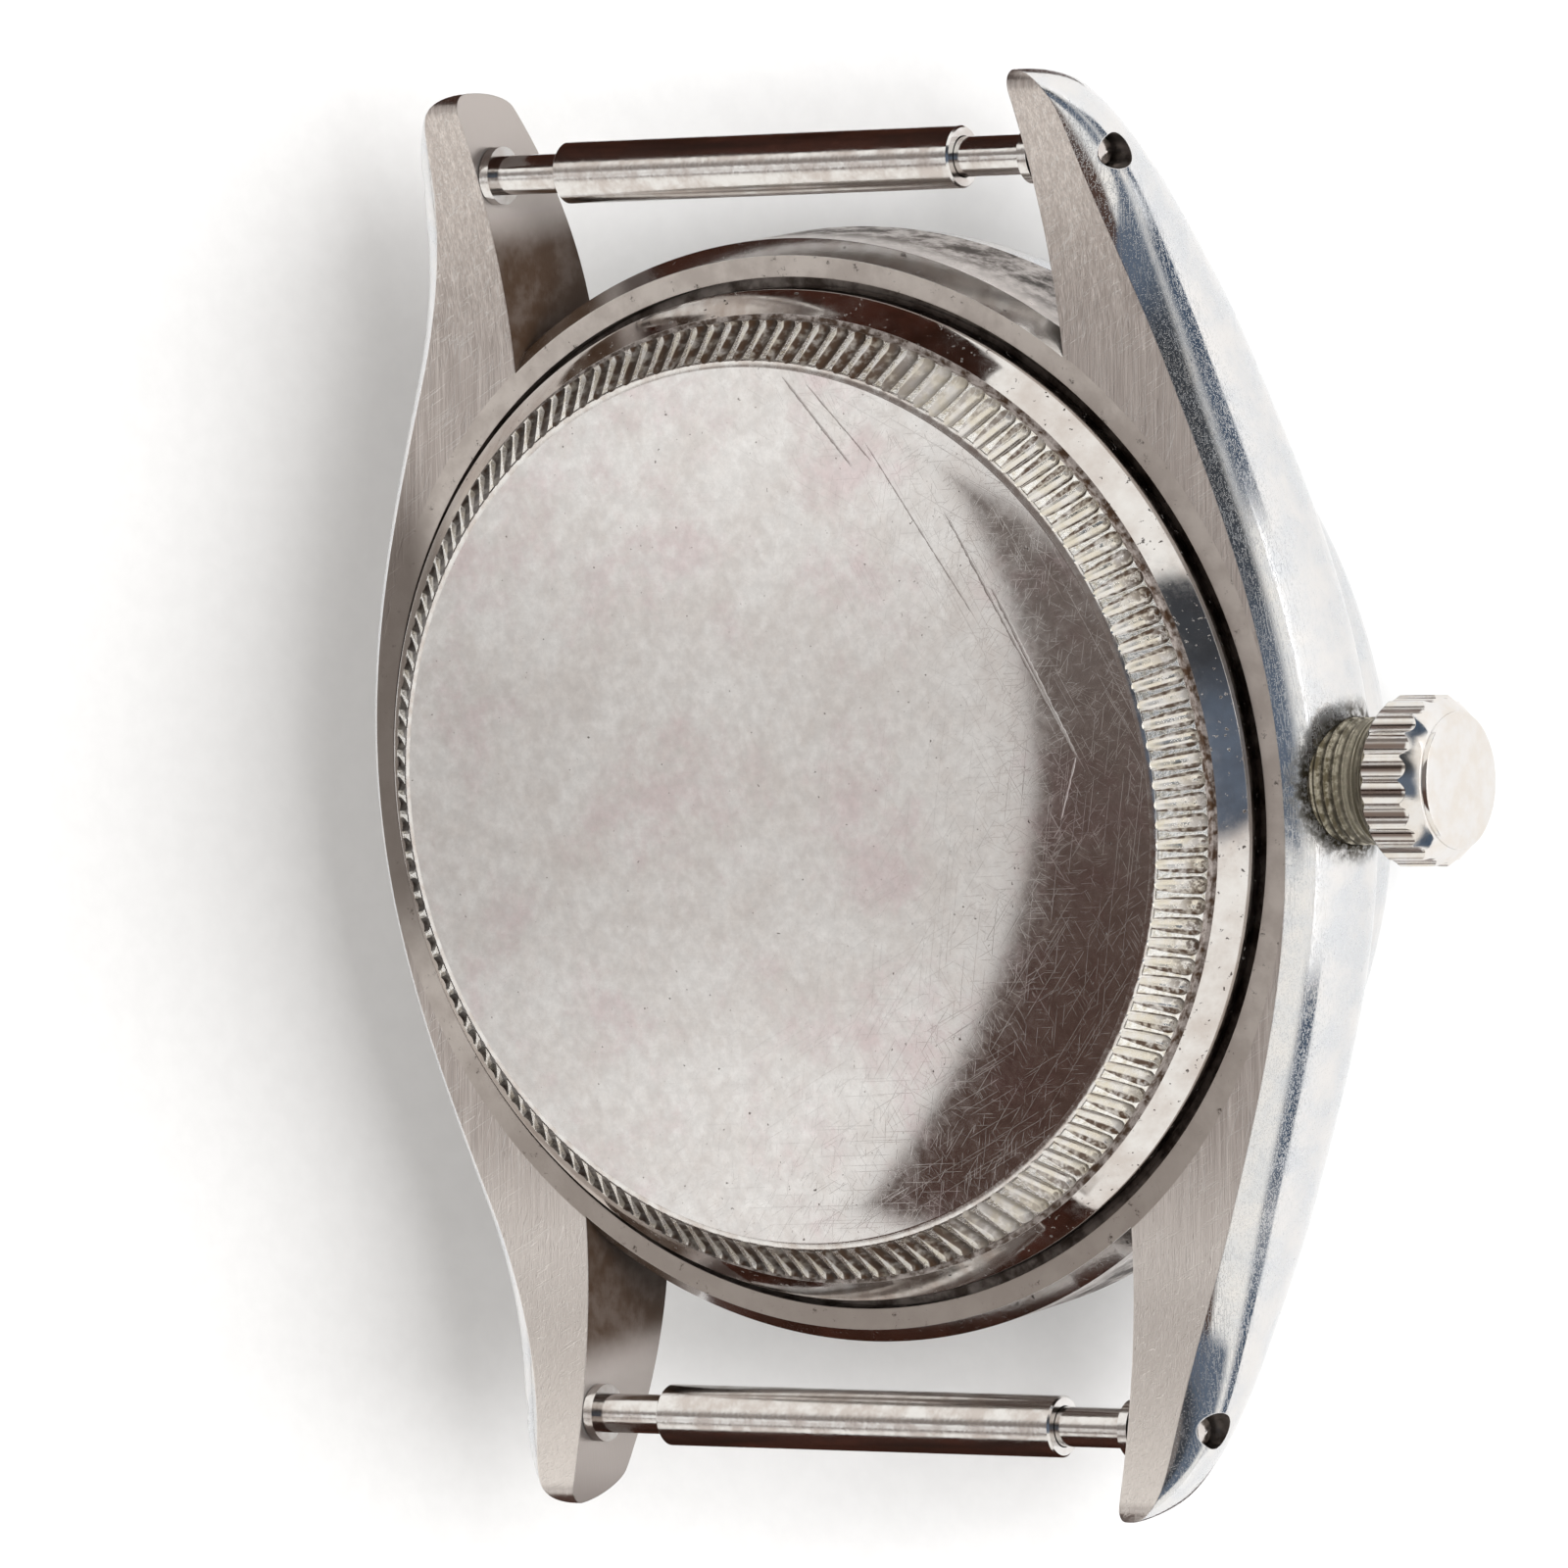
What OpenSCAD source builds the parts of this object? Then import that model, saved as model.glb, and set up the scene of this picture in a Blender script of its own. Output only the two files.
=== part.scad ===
/* [Crystal and bezel] */
// Height of the crystal from its flat top to its seat on the case
crystal_h = 4.1; // [3.9:0.05:4.3]
// Outer radius of the crystal's skirt
crystal_r = 14.25; // [14.1:0.05:14.4]
// Thickness of the crystal's flat top
crystal_t = 1.3; // [1:0.05:1.4]
// Radius of the flat top that the watch rests on
crystal_flat_r = 12.4; // [11.5:0.1:12.8]
// Outer radius of the bezel
bezel_r = 16; // [15.7:0.05:16.1]
// Height of the bezel above the case seat
bezel_h = 2.4; // [2:0.05:2.6]

/* [Middle case] */
// Width across the polished flanks
case_w = 33.54; // [33.2:0.02:34]
// Width across the flanks near the lug ends
case_w_end = 24.26; // [23.8:0.02:24.8]
// Distance from lug end to lug end
lug_span = 41.74; // [41:0.1:42.5]
// Clear width between two lugs
lug_gap = 19; // [18.6:0.1:19.2]
// Thickness from the bezel seat to the flat underside
case_t = 4.3; // [4.2:0.05:4.6]
// Width across the brushed faces at the middle
face_w = 31.36; // [31:0.1:32]
// Width across the brushed faces at the lug ends
face_w_end = 21.9; // [21.5:0.1:22.5]
// Width of the flat ring outside the gap round the flange
ring_w = 1.07; // [1:0.01:1.2]
// Bevel along the back edge of the turned wall
wall_bevel = 0.45; // [0.2:0.05:0.6]
// Half length of the straight part of the underside
flat_half = 12.4; // [11.5:0.1:13]
// How far the lug ends bend towards the wrist
lug_drop = 1.86; // [1.2:0.05:2.2]
// How far the lug tops fall away from the bezel plane
lug_fall = 3.4; // [2.8:0.1:3.7]
// Radius of the drilled strap bar holes
lug_hole_r = 0.52; // [0.5:0.01:0.6]
// How far the strap bar axis lies inside the lug ends
bar_inset = 2.5; // [2.3:0.05:2.7]
// Depth of the strap bar axis below the flat underside level
bar_depth = -0.23; // [-0.4:0.01:0]
// Outer radius of the neck that the crystal presses on
neck_r = 13.55; // [13.4:0.05:13.6]
// Height of that neck
neck_h = 1.7; // [1.4:0.05:1.8]
// Inner radius of the rehaut that frames the dial
rehaut_r = 12.4; // [12.2:0.05:12.5]

/* [Case back] */
// Radius of the threaded bore of the case, which the fluted band matches
thread_r = 14; // [13.9:0.01:14.1]
// Radial width of the sloped fluted band
band_w = 1.02; // [0.9:0.01:1.3]
// Rise of the disc's dome at the centre
dome_rise = 0.36; // [0.1:0.02:0.5]
// Height of the band's foot above the underside of the case
band_foot = 1.4; // [1.2:0.05:1.5]
// Height of the fluted band
band_h = 1.1; // [0.9:0.05:1.3]
// Number of flutes
flutes = 144; // [120:2:150]
// Width of one flute
flute_w = 0.48; // [0.4:0.01:0.5]
// How far a flute's rounded end runs into the disc
flute_reach = 0.05; // [0:0.01:0.1]
// Depth of one flute
flute_depth = 0.15; // [0.1:0.01:0.17]
// Height of the step between band and lip
lip_step = 0.3; // [0.25:0.01:0.35]
// How far the lip stands out beyond the fluted band
lip_w = 0.15; // [0.12:0.01:0.3]
// How far the polished flange stands out beyond the thread
flange_w = 0.8; // [0.7:0.01:0.9]
// Height of the flange's edge above the underside of the case
flange_rise = 0.46; // [0.3:0.02:0.7]
// Width of the dark gap round the flange
flange_gap = 0.3; // [0.2:0.02:0.35]
// Depth of the recess that the flange seats in
flange_recess = 0.6; // [0.5:0.05:0.7]
// Pitch of the case back's thread
thread_pitch = 0.45; // [0.35:0.05:0.5]
// Length of the case back's threaded neck
thread_len = 1.2; // [0.9:0.05:1.2]
// Wall thickness of the case back's threaded neck
back_neck_t = 0.9; // [0.8:0.01:0.95]
// Thickness of the case back's disc at its rim
back_t = 1.15; // [1:0.05:1.2]
// Radial width of the back gasket
gasket_w = 0.47; // [0.4:0.01:0.48]
// Height of the back gasket
gasket_h = 0.5; // [0.4:0.02:0.55]

/* [Crown and stem] */
// Depth of the stem axis below the underside of the case
stem_depth = 2.4; // [2.35:0.01:2.45]
// Radius of the crown
crown_r = 2.45; // [2.4:0.01:2.6]
// Gap between the flank and the crown as photographed
crown_out = 1.37; // [1.3:0.01:1.5]
// How far the crown tube stands out of the flank
tube_out = 1.78; // [1.7:0.02:1.9]
// Length of the crown's fluted band
crown_band = 1.46; // [1.4:0.02:1.8]
// Length of the crown's polished shoulder
crown_shoulder = 0.38; // [0.3:0.02:0.5]
// Radius of the crown's raised cap
cap_r = 1.95; // [1.8:0.01:2]
// Height of the raised cap
cap_h = 0.24; // [0.15:0.01:0.3]
// Number of flutes round the crown
crown_flutes = 22; // [18:1:24]
// Radius of one crown flute
crown_flute_r = 0.45; // [0.42:0.01:0.5]
// Depth of one crown flute
crown_flute_depth = 0.14; // [0.1:0.01:0.16]
// Outer radius of the crown tube's thread
tube_r = 1.82; // [1.75:0.01:1.85]
// Radius of the tube where it is screwed into the case
tube_root_r = 1.2; // [1.1:0.01:1.22]
// Bore of the tube's outer half
tube_bore_r = 1; // [0.98:0.01:1.05]
// Pitch of the tube's thread rings
tube_pitch = 0.3; // [0.25:0.01:0.35]
// Radius of the winding stem
stem_r = 0.45; // [0.42:0.01:0.46]
// Travel of the stem from winding to hand setting
pull_travel = 0.85; // [0.7:0.05:0.86]

/* [Strap bars] */
// Radius of a strap bar's tube
bar_r = 0.9; // [0.85:0.01:0.95]
// Radius of a strap bar's pivot
pivot_r = 0.47; // [0.42:0.01:0.48]
// Radius of the rod that slides inside the bar's tube
rod_r = 0.58; // [0.55:0.01:0.6]
// Length of one pivot beyond its shoulder
pivot_len = 2.2; // [2:0.05:2.3]
// Thickness of one shoulder
shoulder_t = 0.3; // [0.25:0.01:0.4]
// Wire of the spring inside the bar
spring_wire = 0.16; // [0.12:0.01:0.18]

/* [Movement] */
// Room between the mainplate and the threaded bore
plate_room = 1.2; // [1.15:0.01:1.25]
// Thickness of the mainplate
plate_t = 1.6; // [1.55:0.01:1.62]
// Thickness of the dial
dial_t = 0.4; // [0.3:0.02:0.42]
// Room between dial and mainplate for the hands' wheels
motion_h = 0.8; // [0.78:0.01:0.82]
// Distance of the small seconds from the centre
seconds_y = 7; // [6.95:0.01:7.05]
// Height of the train's room above the mainplate
train_h = 1.15; // [1.13:0.01:1.2]
// Thickness of the bridges
bridge_t = 0.75; // [0.7:0.01:0.78]
// Thickness of the winding wheels on the bridge
winding_t = 0.3; // [0.25:0.01:0.32]
// Angle of the barrel seen from the centre
barrel_angle = -60; // [-61:0.5:-59]
// Module of the barrel's teeth
barrel_mod = 0.15; // [0.149:0.001:0.151]
// Module of the centre wheel's teeth
centre_mod = 0.125; // [0.124:0.001:0.126]
// Module of the third wheel's teeth
third_mod = 0.105; // [0.104:0.001:0.106]
// Module of the fourth wheel's teeth
fourth_mod = 0.1; // [0.099:0.001:0.101]
// Module of the winding wheels' teeth
winding_mod = 0.2; // [0.199:0.001:0.201]
// Radius of the escape wheel
escape_r = 2.1; // [2:0.05:2.2]
// Radius of the balance
balance_r = 3.8; // [3.6:0.05:3.9]
// Thickness of the train's wheels
wheel_t = 0.15; // [0.12:0.01:0.16]
// Radius of the train's arbors
arbor_r = 0.16; // [0.14:0.01:0.2]
// Radius of the train's pivots
train_pivot_r = 0.08; // [0.07:0.01:0.09]
// Radius of a jewel
jewel_r = 0.45; // [0.4:0.01:0.5]
// Turns of the hairspring
hair_turns = 4; // [3:1:4]

/* [Hands] */
// Length of the hour hand
hour_len = 7; // [6:0.1:8]
// Length of the minute hand
minute_len = 10.4; // [9.5:0.1:11.2]
// Length of the seconds hand
seconds_len = 2.6; // [2:0.1:3]
// Thickness of the hands
hand_t = 0.12; // [0.1:0.01:0.14]

/* [Hidden] */
$fn = 96;
tiny = 0.01;
fit = 0.02;
run = 0.04;
through = 20;

// Heights, counted from the crystal's flat top towards the wrist
seat_z = crystal_h;
under_z = seat_z + case_t;
ledge_z = under_z - flange_recess;
dial_z = seat_z - 0.2;
plate_z = dial_z + dial_t + motion_h;
top_z = plate_z + plate_t;
stem_z = under_z - stem_depth;
bridge_z = top_z + train_h;
winding_z = bridge_z + bridge_t;
clamp_z = ledge_z - 1.8;
clamp_step = top_z - 0.5;
foot_z = under_z + band_foot;
rim_z = foot_z + band_h;
lip_z = foot_z - lip_step;
ceiling_z = rim_z - back_t;
bar_z = under_z - bar_depth;

// Radii of the case back and of what it screws into, all counted from the thread
band_r = thread_r;
disc_r = band_r - band_w;
lip_r = band_r + lip_w;
flange_r = thread_r + flange_w;
back_bore_r = thread_r - back_neck_t;
wall_r = flange_r + flange_gap + ring_w;
plate_r = thread_r - plate_room;

// Outline of the case in plan, as formulas of the distance y along the lugs
end_y = lug_span / 2;
bar_y = end_y - bar_inset;
tip_y = end_y - 0.44;
cap_y = end_y - 4.27;
root_x = lug_gap / 2;
// Share of the height at which the flank is widest, at the middle and at the lug ends
widest_mid = 0.354;
widest_end = 0.722;
function reach(y) = abs(y) / tip_y;
function tip_share(y, p) = abs(y) < cap_y ? 1 : sqrt(1 - pow((abs(y) - cap_y) / (end_y - cap_y), p));
function slim(a, b, bow, y) = let(t = reach(y)) a - (a - b) * (bow * t ^ 2 - (bow - 1) * t ^ 4);
function flank_x(y) = root_x + (slim(case_w, case_w_end, 2.07, y) / 2 - root_x) * tip_share(y, 2.57);
function face_x(y) = root_x + (slim(face_w, face_w_end, 2, y) / 2 - root_x) * tip_share(y, 7);
function top_inset(y) = 1.04 + 1.26 * reach(y) ^ 2;
function bend(y) = max(abs(y) - flat_half, 0) / (tip_y - flat_half);
function tip_round(y) = let(r = 0.6, d = abs(y) - end_y + r) d < 0 ? 1 : sqrt(1 - (d / r) ^ 2);
function under(y) = under_z + lug_drop * pow(bend(y), 1.82);
function top(y) = seat_z + lug_fall * bend(y) ^ 2;
function mid(y) = let(share = widest_mid + (widest_end - widest_mid) * reach(y) ^ 2)
    top(y) + (under(y) - top(y)) * share;
function squeeze(z, y) = mid(y) + (z - mid(y)) * tip_round(y);
flank_steps = 7;
lug_steps = 22;
face_start = 32;

// One slice of the case's side at y, from the inner wall round the flank and back
function slice(y) = let(
    xi = root_x, xf = face_x(y), xm = flank_x(y), xt = max(xm - top_inset(y), xi + 0.25 * (xm - xi)),
    zu = squeeze(under(y), y), zt = squeeze(top(y), y), zm = mid(y),
    s0 = sin(face_start))
    concat(
        [[xi, y, zu]],
        [for (i = [0:flank_steps]) let(a = face_start + (90 - face_start) * i / flank_steps)
            [xf + (xm - xf) * (sin(a) - s0) / (1 - s0), y, zm + (zu - zm) * cos(a) / cos(face_start)]],
        [for (i = [1:flank_steps]) let(b = 84 * i / flank_steps)
            [xt + (xm - xt) * cos(b), y, zm - (zm - zt) * sin(b)]],
        [[xi, y, zt]]);

// A closed skin over slices that all have the same number of points
module loft(slices) {
    n = len(slices[0]);
    m = len(slices);
    polyhedron(
        points = [for (s = slices) each s],
        faces = concat(
            [for (j = [0:m - 2], i = [0:n - 1]) let(k = (i + 1) % n)
                each [[j * n + i, (j + 1) * n + k, j * n + k],
                    [j * n + i, (j + 1) * n + i, (j + 1) * n + k]]],
            [[for (i = [0:n - 1]) i]],
            [[for (i = [n - 1:-1:0]) (m - 1) * n + i]]));
}

// Arbors of the movement in plan
centre_teeth = 64;
centre_leaves = 12;
barrel_teeth = 72;
third_teeth = 60;
third_leaves = 8;
fourth_teeth = 60;
fourth_leaves = 8;
escape_teeth = 15;
escape_leaves = 6;
ratchet_teeth = 44;
crown_teeth = 22;
barrel_d = barrel_mod * (barrel_teeth + centre_leaves) / 2;
third_d = centre_mod * (centre_teeth + third_leaves) / 2;
fourth_d = third_mod * (third_teeth + fourth_leaves) / 2;
escape_d = fourth_mod * (fourth_teeth + escape_leaves) / 2;
winding_d = winding_mod * (ratchet_teeth + crown_teeth) / 2;
function polar(d, a) = [d * cos(a), d * sin(a)];
function bearing(p, q) = atan2(q[1] - p[1], q[0] - p[0]);
function gap(p, q) = norm(q - p);
centre_at = [0, 0];
barrel_at = polar(barrel_d, barrel_angle);
fourth_at = [0, seconds_y];
third_y = (third_d ^ 2 - fourth_d ^ 2 + seconds_y ^ 2) / (2 * seconds_y);
third_at = [-sqrt(third_d ^ 2 - third_y ^ 2), third_y];
escape_at = fourth_at + polar(escape_d, 151.5);
balance_at = escape_at + polar(5.95, 222.3);
pallet_at = escape_at + polar(2.45, 222.3);
crown_wheel_at = [barrel_at[0] + sqrt(winding_d ^ 2 - barrel_at[1] ^ 2), 0];
click_at = barrel_at + polar(5.7, 200);
click_spring_at = barrel_at + polar(7, 216);
pallet_foot = pallet_at + polar(2.6, 125);
drum_r = barrel_d - 1;

// Levels of the train
barrel_z = [plate_z + 0.25, top_z + 0.4];
centre_z = top_z + 0.55;
third_z = top_z + 0.1;
escape_z = top_z + 0.35;
fourth_z = top_z + 0.85;
pallet_bridge_z = top_z + 0.62;
balance_z = top_z + 1.25;
hair_z = top_z + 1.66;
cock_z = top_z + 1.95;
cock_t = 0.6;

// Phase of a wheel with n teeth driven by one with m teeth and phase p, along bearing a
function meshed(p, m, n, a) = let(step = 360 / m, d = (a - p) - step * floor((a - p) / step))
    a + 180 + d * m / n + 180 / n;

// Wheels of the motion work
cannon_teeth = 12;
minute_teeth = 36;
minute_leaves = 10;
hour_teeth = 40;
setting_teeth = 20;
motion_mod = 0.1;
hour_mod = motion_mod * (cannon_teeth + minute_teeth) / (minute_leaves + hour_teeth);
minute_at = [motion_mod * (cannon_teeth + minute_teeth) / 2, 0];
setting_at = minute_at + [motion_mod * (minute_teeth + setting_teeth) / 2, 0];
hour_z = dial_z + dial_t + 0.1;
minute_z = hour_z + 0.35;

// Places along the stem
flank_r = case_w / 2;
tube_end_x = flank_r + tube_out;
crown_x = flank_r + crown_out;
cap_x = crown_x + crown_band + crown_shoulder;
crown_bottom = crown_x + crown_band;
screw_travel = pull_travel;
stem_head_x = crown_bottom - 0.1 - screw_travel;
slider_x = setting_at[0] + setting_teeth * motion_mod / 2 + 0.15 + pull_travel;
winder_x = slider_x + 1.15;
stem_slot_x = plate_r - 2.1;
lever_at = [stem_slot_x + 0.2, 3.2];
yoke_at = [slider_x + 0.62, -3.3];

// Hands as photographed watches are usually set, in degrees from 12 o'clock
hour_angle = 304.5;
minute_angle = 54;
seconds_angle = 30;
hour_hand_z = dial_z - 0.45;
minute_hand_z = dial_z - 0.8;
seconds_hand_z = dial_z - 0.2;

// Building blocks

module ring(outer, inner, z0, z1) {
    difference() {
        translate([0, 0, z0]) cylinder(r = outer, h = z1 - z0);
        translate([0, 0, z0 - 1]) cylinder(r = inner, h = z1 - z0 + 2);
    }
}

module disc(at, r, z0, z1) {
    translate([at[0], at[1], z0]) cylinder(r = r, h = z1 - z0);
}

// Turns a profile of [radius, x] points round the stem axis
module turned_on_stem(profile) {
    translate([0, 0, stem_z]) rotate([0, 90, 0]) rotate_extrude() polygon(profile);
}

function gear_points(teeth, mod, phase) = [
    for (i = [0:teeth - 1]) let(a = phase + 360 * i / teeth, w = 90 / teeth,
        rp = mod * teeth / 2, tip = rp + 0.8 * mod, root = rp - 1.1 * mod)
        each [polar(root, a - 1.15 * w), polar(rp, a - 0.9 * w), polar(tip, a - 0.35 * w),
            polar(tip, a + 0.35 * w), polar(rp, a + 0.9 * w), polar(root, a + 1.15 * w)]];

module gear(at, teeth, mod, phase, z0, z1) {
    translate([at[0], at[1], z0]) linear_extrude(z1 - z0) polygon(gear_points(teeth, mod, phase));
}

// A spoked wheel: a toothed rim, a hub and crossed spokes
module spoked(at, teeth, mod, phase, z0, t, spokes, hub_r) {
    rim_in = mod * teeth / 2 - 4.2 * mod;
    difference() {
        gear(at, teeth, mod, phase, z0, z0 + t);
        disc(at, rim_in, z0 - 1, z0 + t + 1);
    }
    disc(at, hub_r, z0, z0 + t);
    for (i = [0:spokes - 1])
        translate([at[0], at[1], z0]) rotate(360 * i / spokes + 20)
            translate([hub_r - 0.1, -0.16, 0]) cube([rim_in - hub_r + 0.2, 0.32, t]);
}

// An arbor with a pivot at each end
module arbor(at, z0, z1, foot, head) {
    disc(at, arbor_r, z0, z1);
    disc(at, train_pivot_r, foot, head);
}

// A slotted screw with its head on z and its shank below
module screw(at, r, z, shank) {
    difference() {
        union() {
            disc(at, r, z, z + 0.3);
            disc(at, r * 0.55, z - shank, z + tiny);
        }
        translate([at[0], at[1], z + 0.25]) cube([3 * r, 0.16, 0.2], center = true);
    }
}

// Crystal and bezel

module crystal() {
    color("lightcyan", 0.5) rotate_extrude() polygon([
        [0, 0], [crystal_flat_r, 0], [crystal_r - 0.6, 0.3], [crystal_r - 0.2, 0.95], [crystal_r, 1.8],
        [crystal_r, seat_z], [neck_r + fit, seat_z], [neck_r + fit, seat_z - neck_h - 0.05],
        [neck_r - 0.55, seat_z - neck_h - 0.35], [crystal_flat_r - 0.3, crystal_t], [0, crystal_t]]);
}

module bezel() {
    ri = crystal_r + tiny;
    low = seat_z - 0.65;
    high = seat_z - bezel_h;
    color("silver") rotate_extrude() polygon(concat(
        [[ri, seat_z], [ri, high + 0.1], [ri + 0.1, high]],
        [for (a = [0:10:90]) [ri + 0.22 + (bezel_r - ri - 0.22) * sin(a), low - (low - high) * cos(a)]],
        [[bezel_r - 0.05, low + 0.3], [bezel_r - 0.4, seat_z]]));
}

// Middle case with its four lugs

module case_side() {
    loft([for (i = [-lug_steps:lug_steps]) slice((end_y - 0.004) * sin(90 * i / lug_steps))]);
}

module case_core() {
    rotate_extrude() polygon([
        [0, seat_z - neck_h], [neck_r, seat_z - neck_h], [neck_r, seat_z], [wall_r - 0.35, seat_z],
        [wall_r, seat_z + 0.35], [wall_r, under_z - wall_bevel - 0.1], [wall_r - wall_bevel, under_z],
        [0, under_z]]);
}

module middle_case() {
    color("lightgray") difference() {
        union() {
            case_core();
            case_side();
            mirror([1, 0, 0]) case_side();
        }
        disc([0, 0], rehaut_r, seat_z - neck_h - 1, dial_z + tiny);
        disc([0, 0], plate_r + 0.15, dial_z, clamp_z + tiny);
        disc([0, 0], thread_r, clamp_z, under_z + 1);
        disc([0, 0], thread_r + gasket_w + run, ledge_z - gasket_h - fit, under_z + 1);
        disc([0, 0], flange_r + flange_gap, ledge_z, under_z + 1);
        for (y = [-bar_y, bar_y])
            translate([0, y, bar_z]) rotate([0, 90, 0])
                cylinder(r = lug_hole_r, h = 2 * flank_r, center = true);
        translate([0, 0, stem_z]) rotate([0, 90, 0]) {
            translate([0, 0, 11]) cylinder(r = stem_r + 0.06, h = flank_r);
            translate([0, 0, thread_r + 0.2]) cylinder(r = tube_root_r + tiny, h = flank_r);
            translate([0, 0, flank_r - 1.2]) cylinder(r = tube_r + tiny, h = 5);
        }
    }
}

// Screwed case back: domed disc, fluted band, lip, polished flange and threaded neck

function dome_z(r) = rim_z + dome_rise * (1 - (r / disc_r) ^ 2);

// Plan of one finger-shaped flute, pointing at the disc, with y along the slope
function finger(w, len) = concat(
    [[-w / 2, -0.2], [w / 2, -0.2]],
    [for (a = [0:45:180]) [w / 2 * cos(a), len - w / 2 + w / 2 * sin(a)]]);

module flute_cutters() {
    inward = band_r - disc_r;
    slope = atan2(band_h, inward);
    len = norm([inward, band_h]) + flute_reach;
    for (i = [0:flutes - 1])
        rotate(360 * i / flutes) translate([band_r, 0, foot_z]) rotate([0, slope, 0]) rotate(90)
            translate([0, 0, -flute_depth]) linear_extrude(1) polygon(finger(flute_w, len));
}

module case_back() {
    low = ledge_z - thread_len;
    color("gainsboro") difference() {
        rotate_extrude() polygon(concat(
            [[back_bore_r, low], [thread_r - run - 0.1, low], [thread_r - run, low + 0.1],
                [thread_r - run, ledge_z + fit], [flange_r, ledge_z + fit],
                [flange_r, under_z + flange_rise - 0.06], [flange_r - 0.07, under_z + flange_rise + 0.02],
                [lip_r, lip_z], [band_r, lip_z], [band_r, foot_z], [disc_r, rim_z]],
            [for (i = [9:-1:0]) [disc_r * i / 10, dome_z(disc_r * i / 10)]],
            [[0, ceiling_z], [back_bore_r - 0.5, ceiling_z], [back_bore_r, ceiling_z - 0.5]]));
        flute_cutters();
    }
}

module back_gasket() {
    color("dimgray") translate([0, 0, ledge_z - gasket_h])
        rotate_extrude() translate([thread_r, 0]) polygon([
            [0, 0.08], [0.08, 0], [gasket_w - 0.08, 0], [gasket_w, 0.08], [gasket_w, gasket_h - 0.08],
            [gasket_w - 0.08, gasket_h], [0.08, gasket_h], [0, gasket_h - 0.08]]);
}

// Crown, its tube and the stem

module crown_tube() {
    start = flank_r - 1.2;
    rings = floor((tube_end_x - start - 0.75) / tube_pitch);
    color("darkkhaki") difference() {
        turned_on_stem(concat(
            [[0, thread_r + 0.2], [tube_root_r, thread_r + 0.2], [tube_root_r, start], [tube_r, start]],
            [for (i = [1:rings]) let(x = tube_end_x - 0.05 - (rings - i + 1) * tube_pitch)
                each [[tube_r, x], [tube_r - 0.12, x + tube_pitch * 0.4], [tube_r, x + tube_pitch * 0.8]]],
            [[tube_r - 0.1, tube_end_x], [0, tube_end_x]]));
        turned_on_stem([[0, 0], [stem_r + 0.06, 0], [stem_r + 0.06, tube_end_x + 1], [0, tube_end_x + 1]]);
        turned_on_stem([[0, flank_r - 0.25], [tube_bore_r, flank_r - 0.25],
            [tube_bore_r, tube_end_x + 1], [0, tube_end_x + 1]]);
    }
}

module tube_gasket() {
    color("black") turned_on_stem([[stem_r + 0.05, flank_r - 0.24], [tube_bore_r - tiny, flank_r - 0.24],
        [tube_bore_r - tiny, flank_r + 0.16], [stem_r + 0.05, flank_r + 0.16]]);
}

module crown() {
    color("silver") difference() {
        turned_on_stem(concat(
            [[tube_r + run, crown_x], [crown_r - 0.19, crown_x], [crown_r, crown_x + 0.22],
                [crown_r, crown_bottom - 0.1], [cap_r + 0.06, cap_x], [cap_r, cap_x + 0.02]],
            [for (i = [0:5]) [cap_r * (1 - i / 5), cap_x + cap_h * (0.55 + 0.45 * sin(18 * i))]],
            [[0, crown_bottom - 1.25], [0.85, crown_bottom - 1.25], [0.85, crown_bottom],
                [tube_r + run, crown_bottom]]));
        for (i = [0:crown_flutes - 1])
            translate([crown_x - 1, 0, stem_z]) rotate([360 * i / crown_flutes, 0, 0])
                translate([0, 0, crown_r + crown_flute_r - crown_flute_depth]) rotate([0, 90, 0])
                    cylinder(r = crown_flute_r, h = crown_band + crown_shoulder + 1);
        turned_on_stem([[0, 0], [stem_r + 0.03, 0], [stem_r + 0.03, crown_bottom - 0.05],
            [0, crown_bottom - 0.05]]);
    }
}

module crown_gasket() {
    color("black") turned_on_stem([[0.87, crown_bottom - 0.17], [tube_r + run - tiny, crown_bottom - 0.17],
        [tube_r + run - tiny, crown_bottom - tiny], [0.87, crown_bottom - tiny]]);
}

// A coil along X as one unbroken tube of wire, with flat ends
module coil(middle, r, wire, length, turns, rings) {
    n = turns * rings;
    lead = length / turns / (2 * PI * r);
    color("gray") translate(middle) polyhedron(
        points = [for (i = [0:n]) let(a = 360 * i / rings, out = [0, cos(a), sin(a)],
            side = cross([lead, -sin(a), cos(a)] / norm([lead, 1]), out))
            for (k = [0:5]) [length * (i / n - 0.5), 0, 0] + r * out
                + wire / 2 * (cos(60 * k) * out + sin(60 * k) * side)],
        faces = concat(
            [for (i = [0:n - 1], k = [0:5]) let(m = (k + 1) % 6)
                each [[6 * i + k, 6 * i + m, 6 * i + 6 + m], [6 * i + k, 6 * i + 6 + m, 6 * i + 6 + k]]],
            [[5, 4, 3, 2, 1, 0], [for (k = [0:5]) 6 * n + k]]));
}

module crown_spring() {
    length = crown_bottom - 0.05 - stem_head_x - 0.12;
    coil([crown_bottom - 0.05 - length / 2 - 0.06, 0, stem_z], 0.34, 0.1, length, 3, 10);
}

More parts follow.
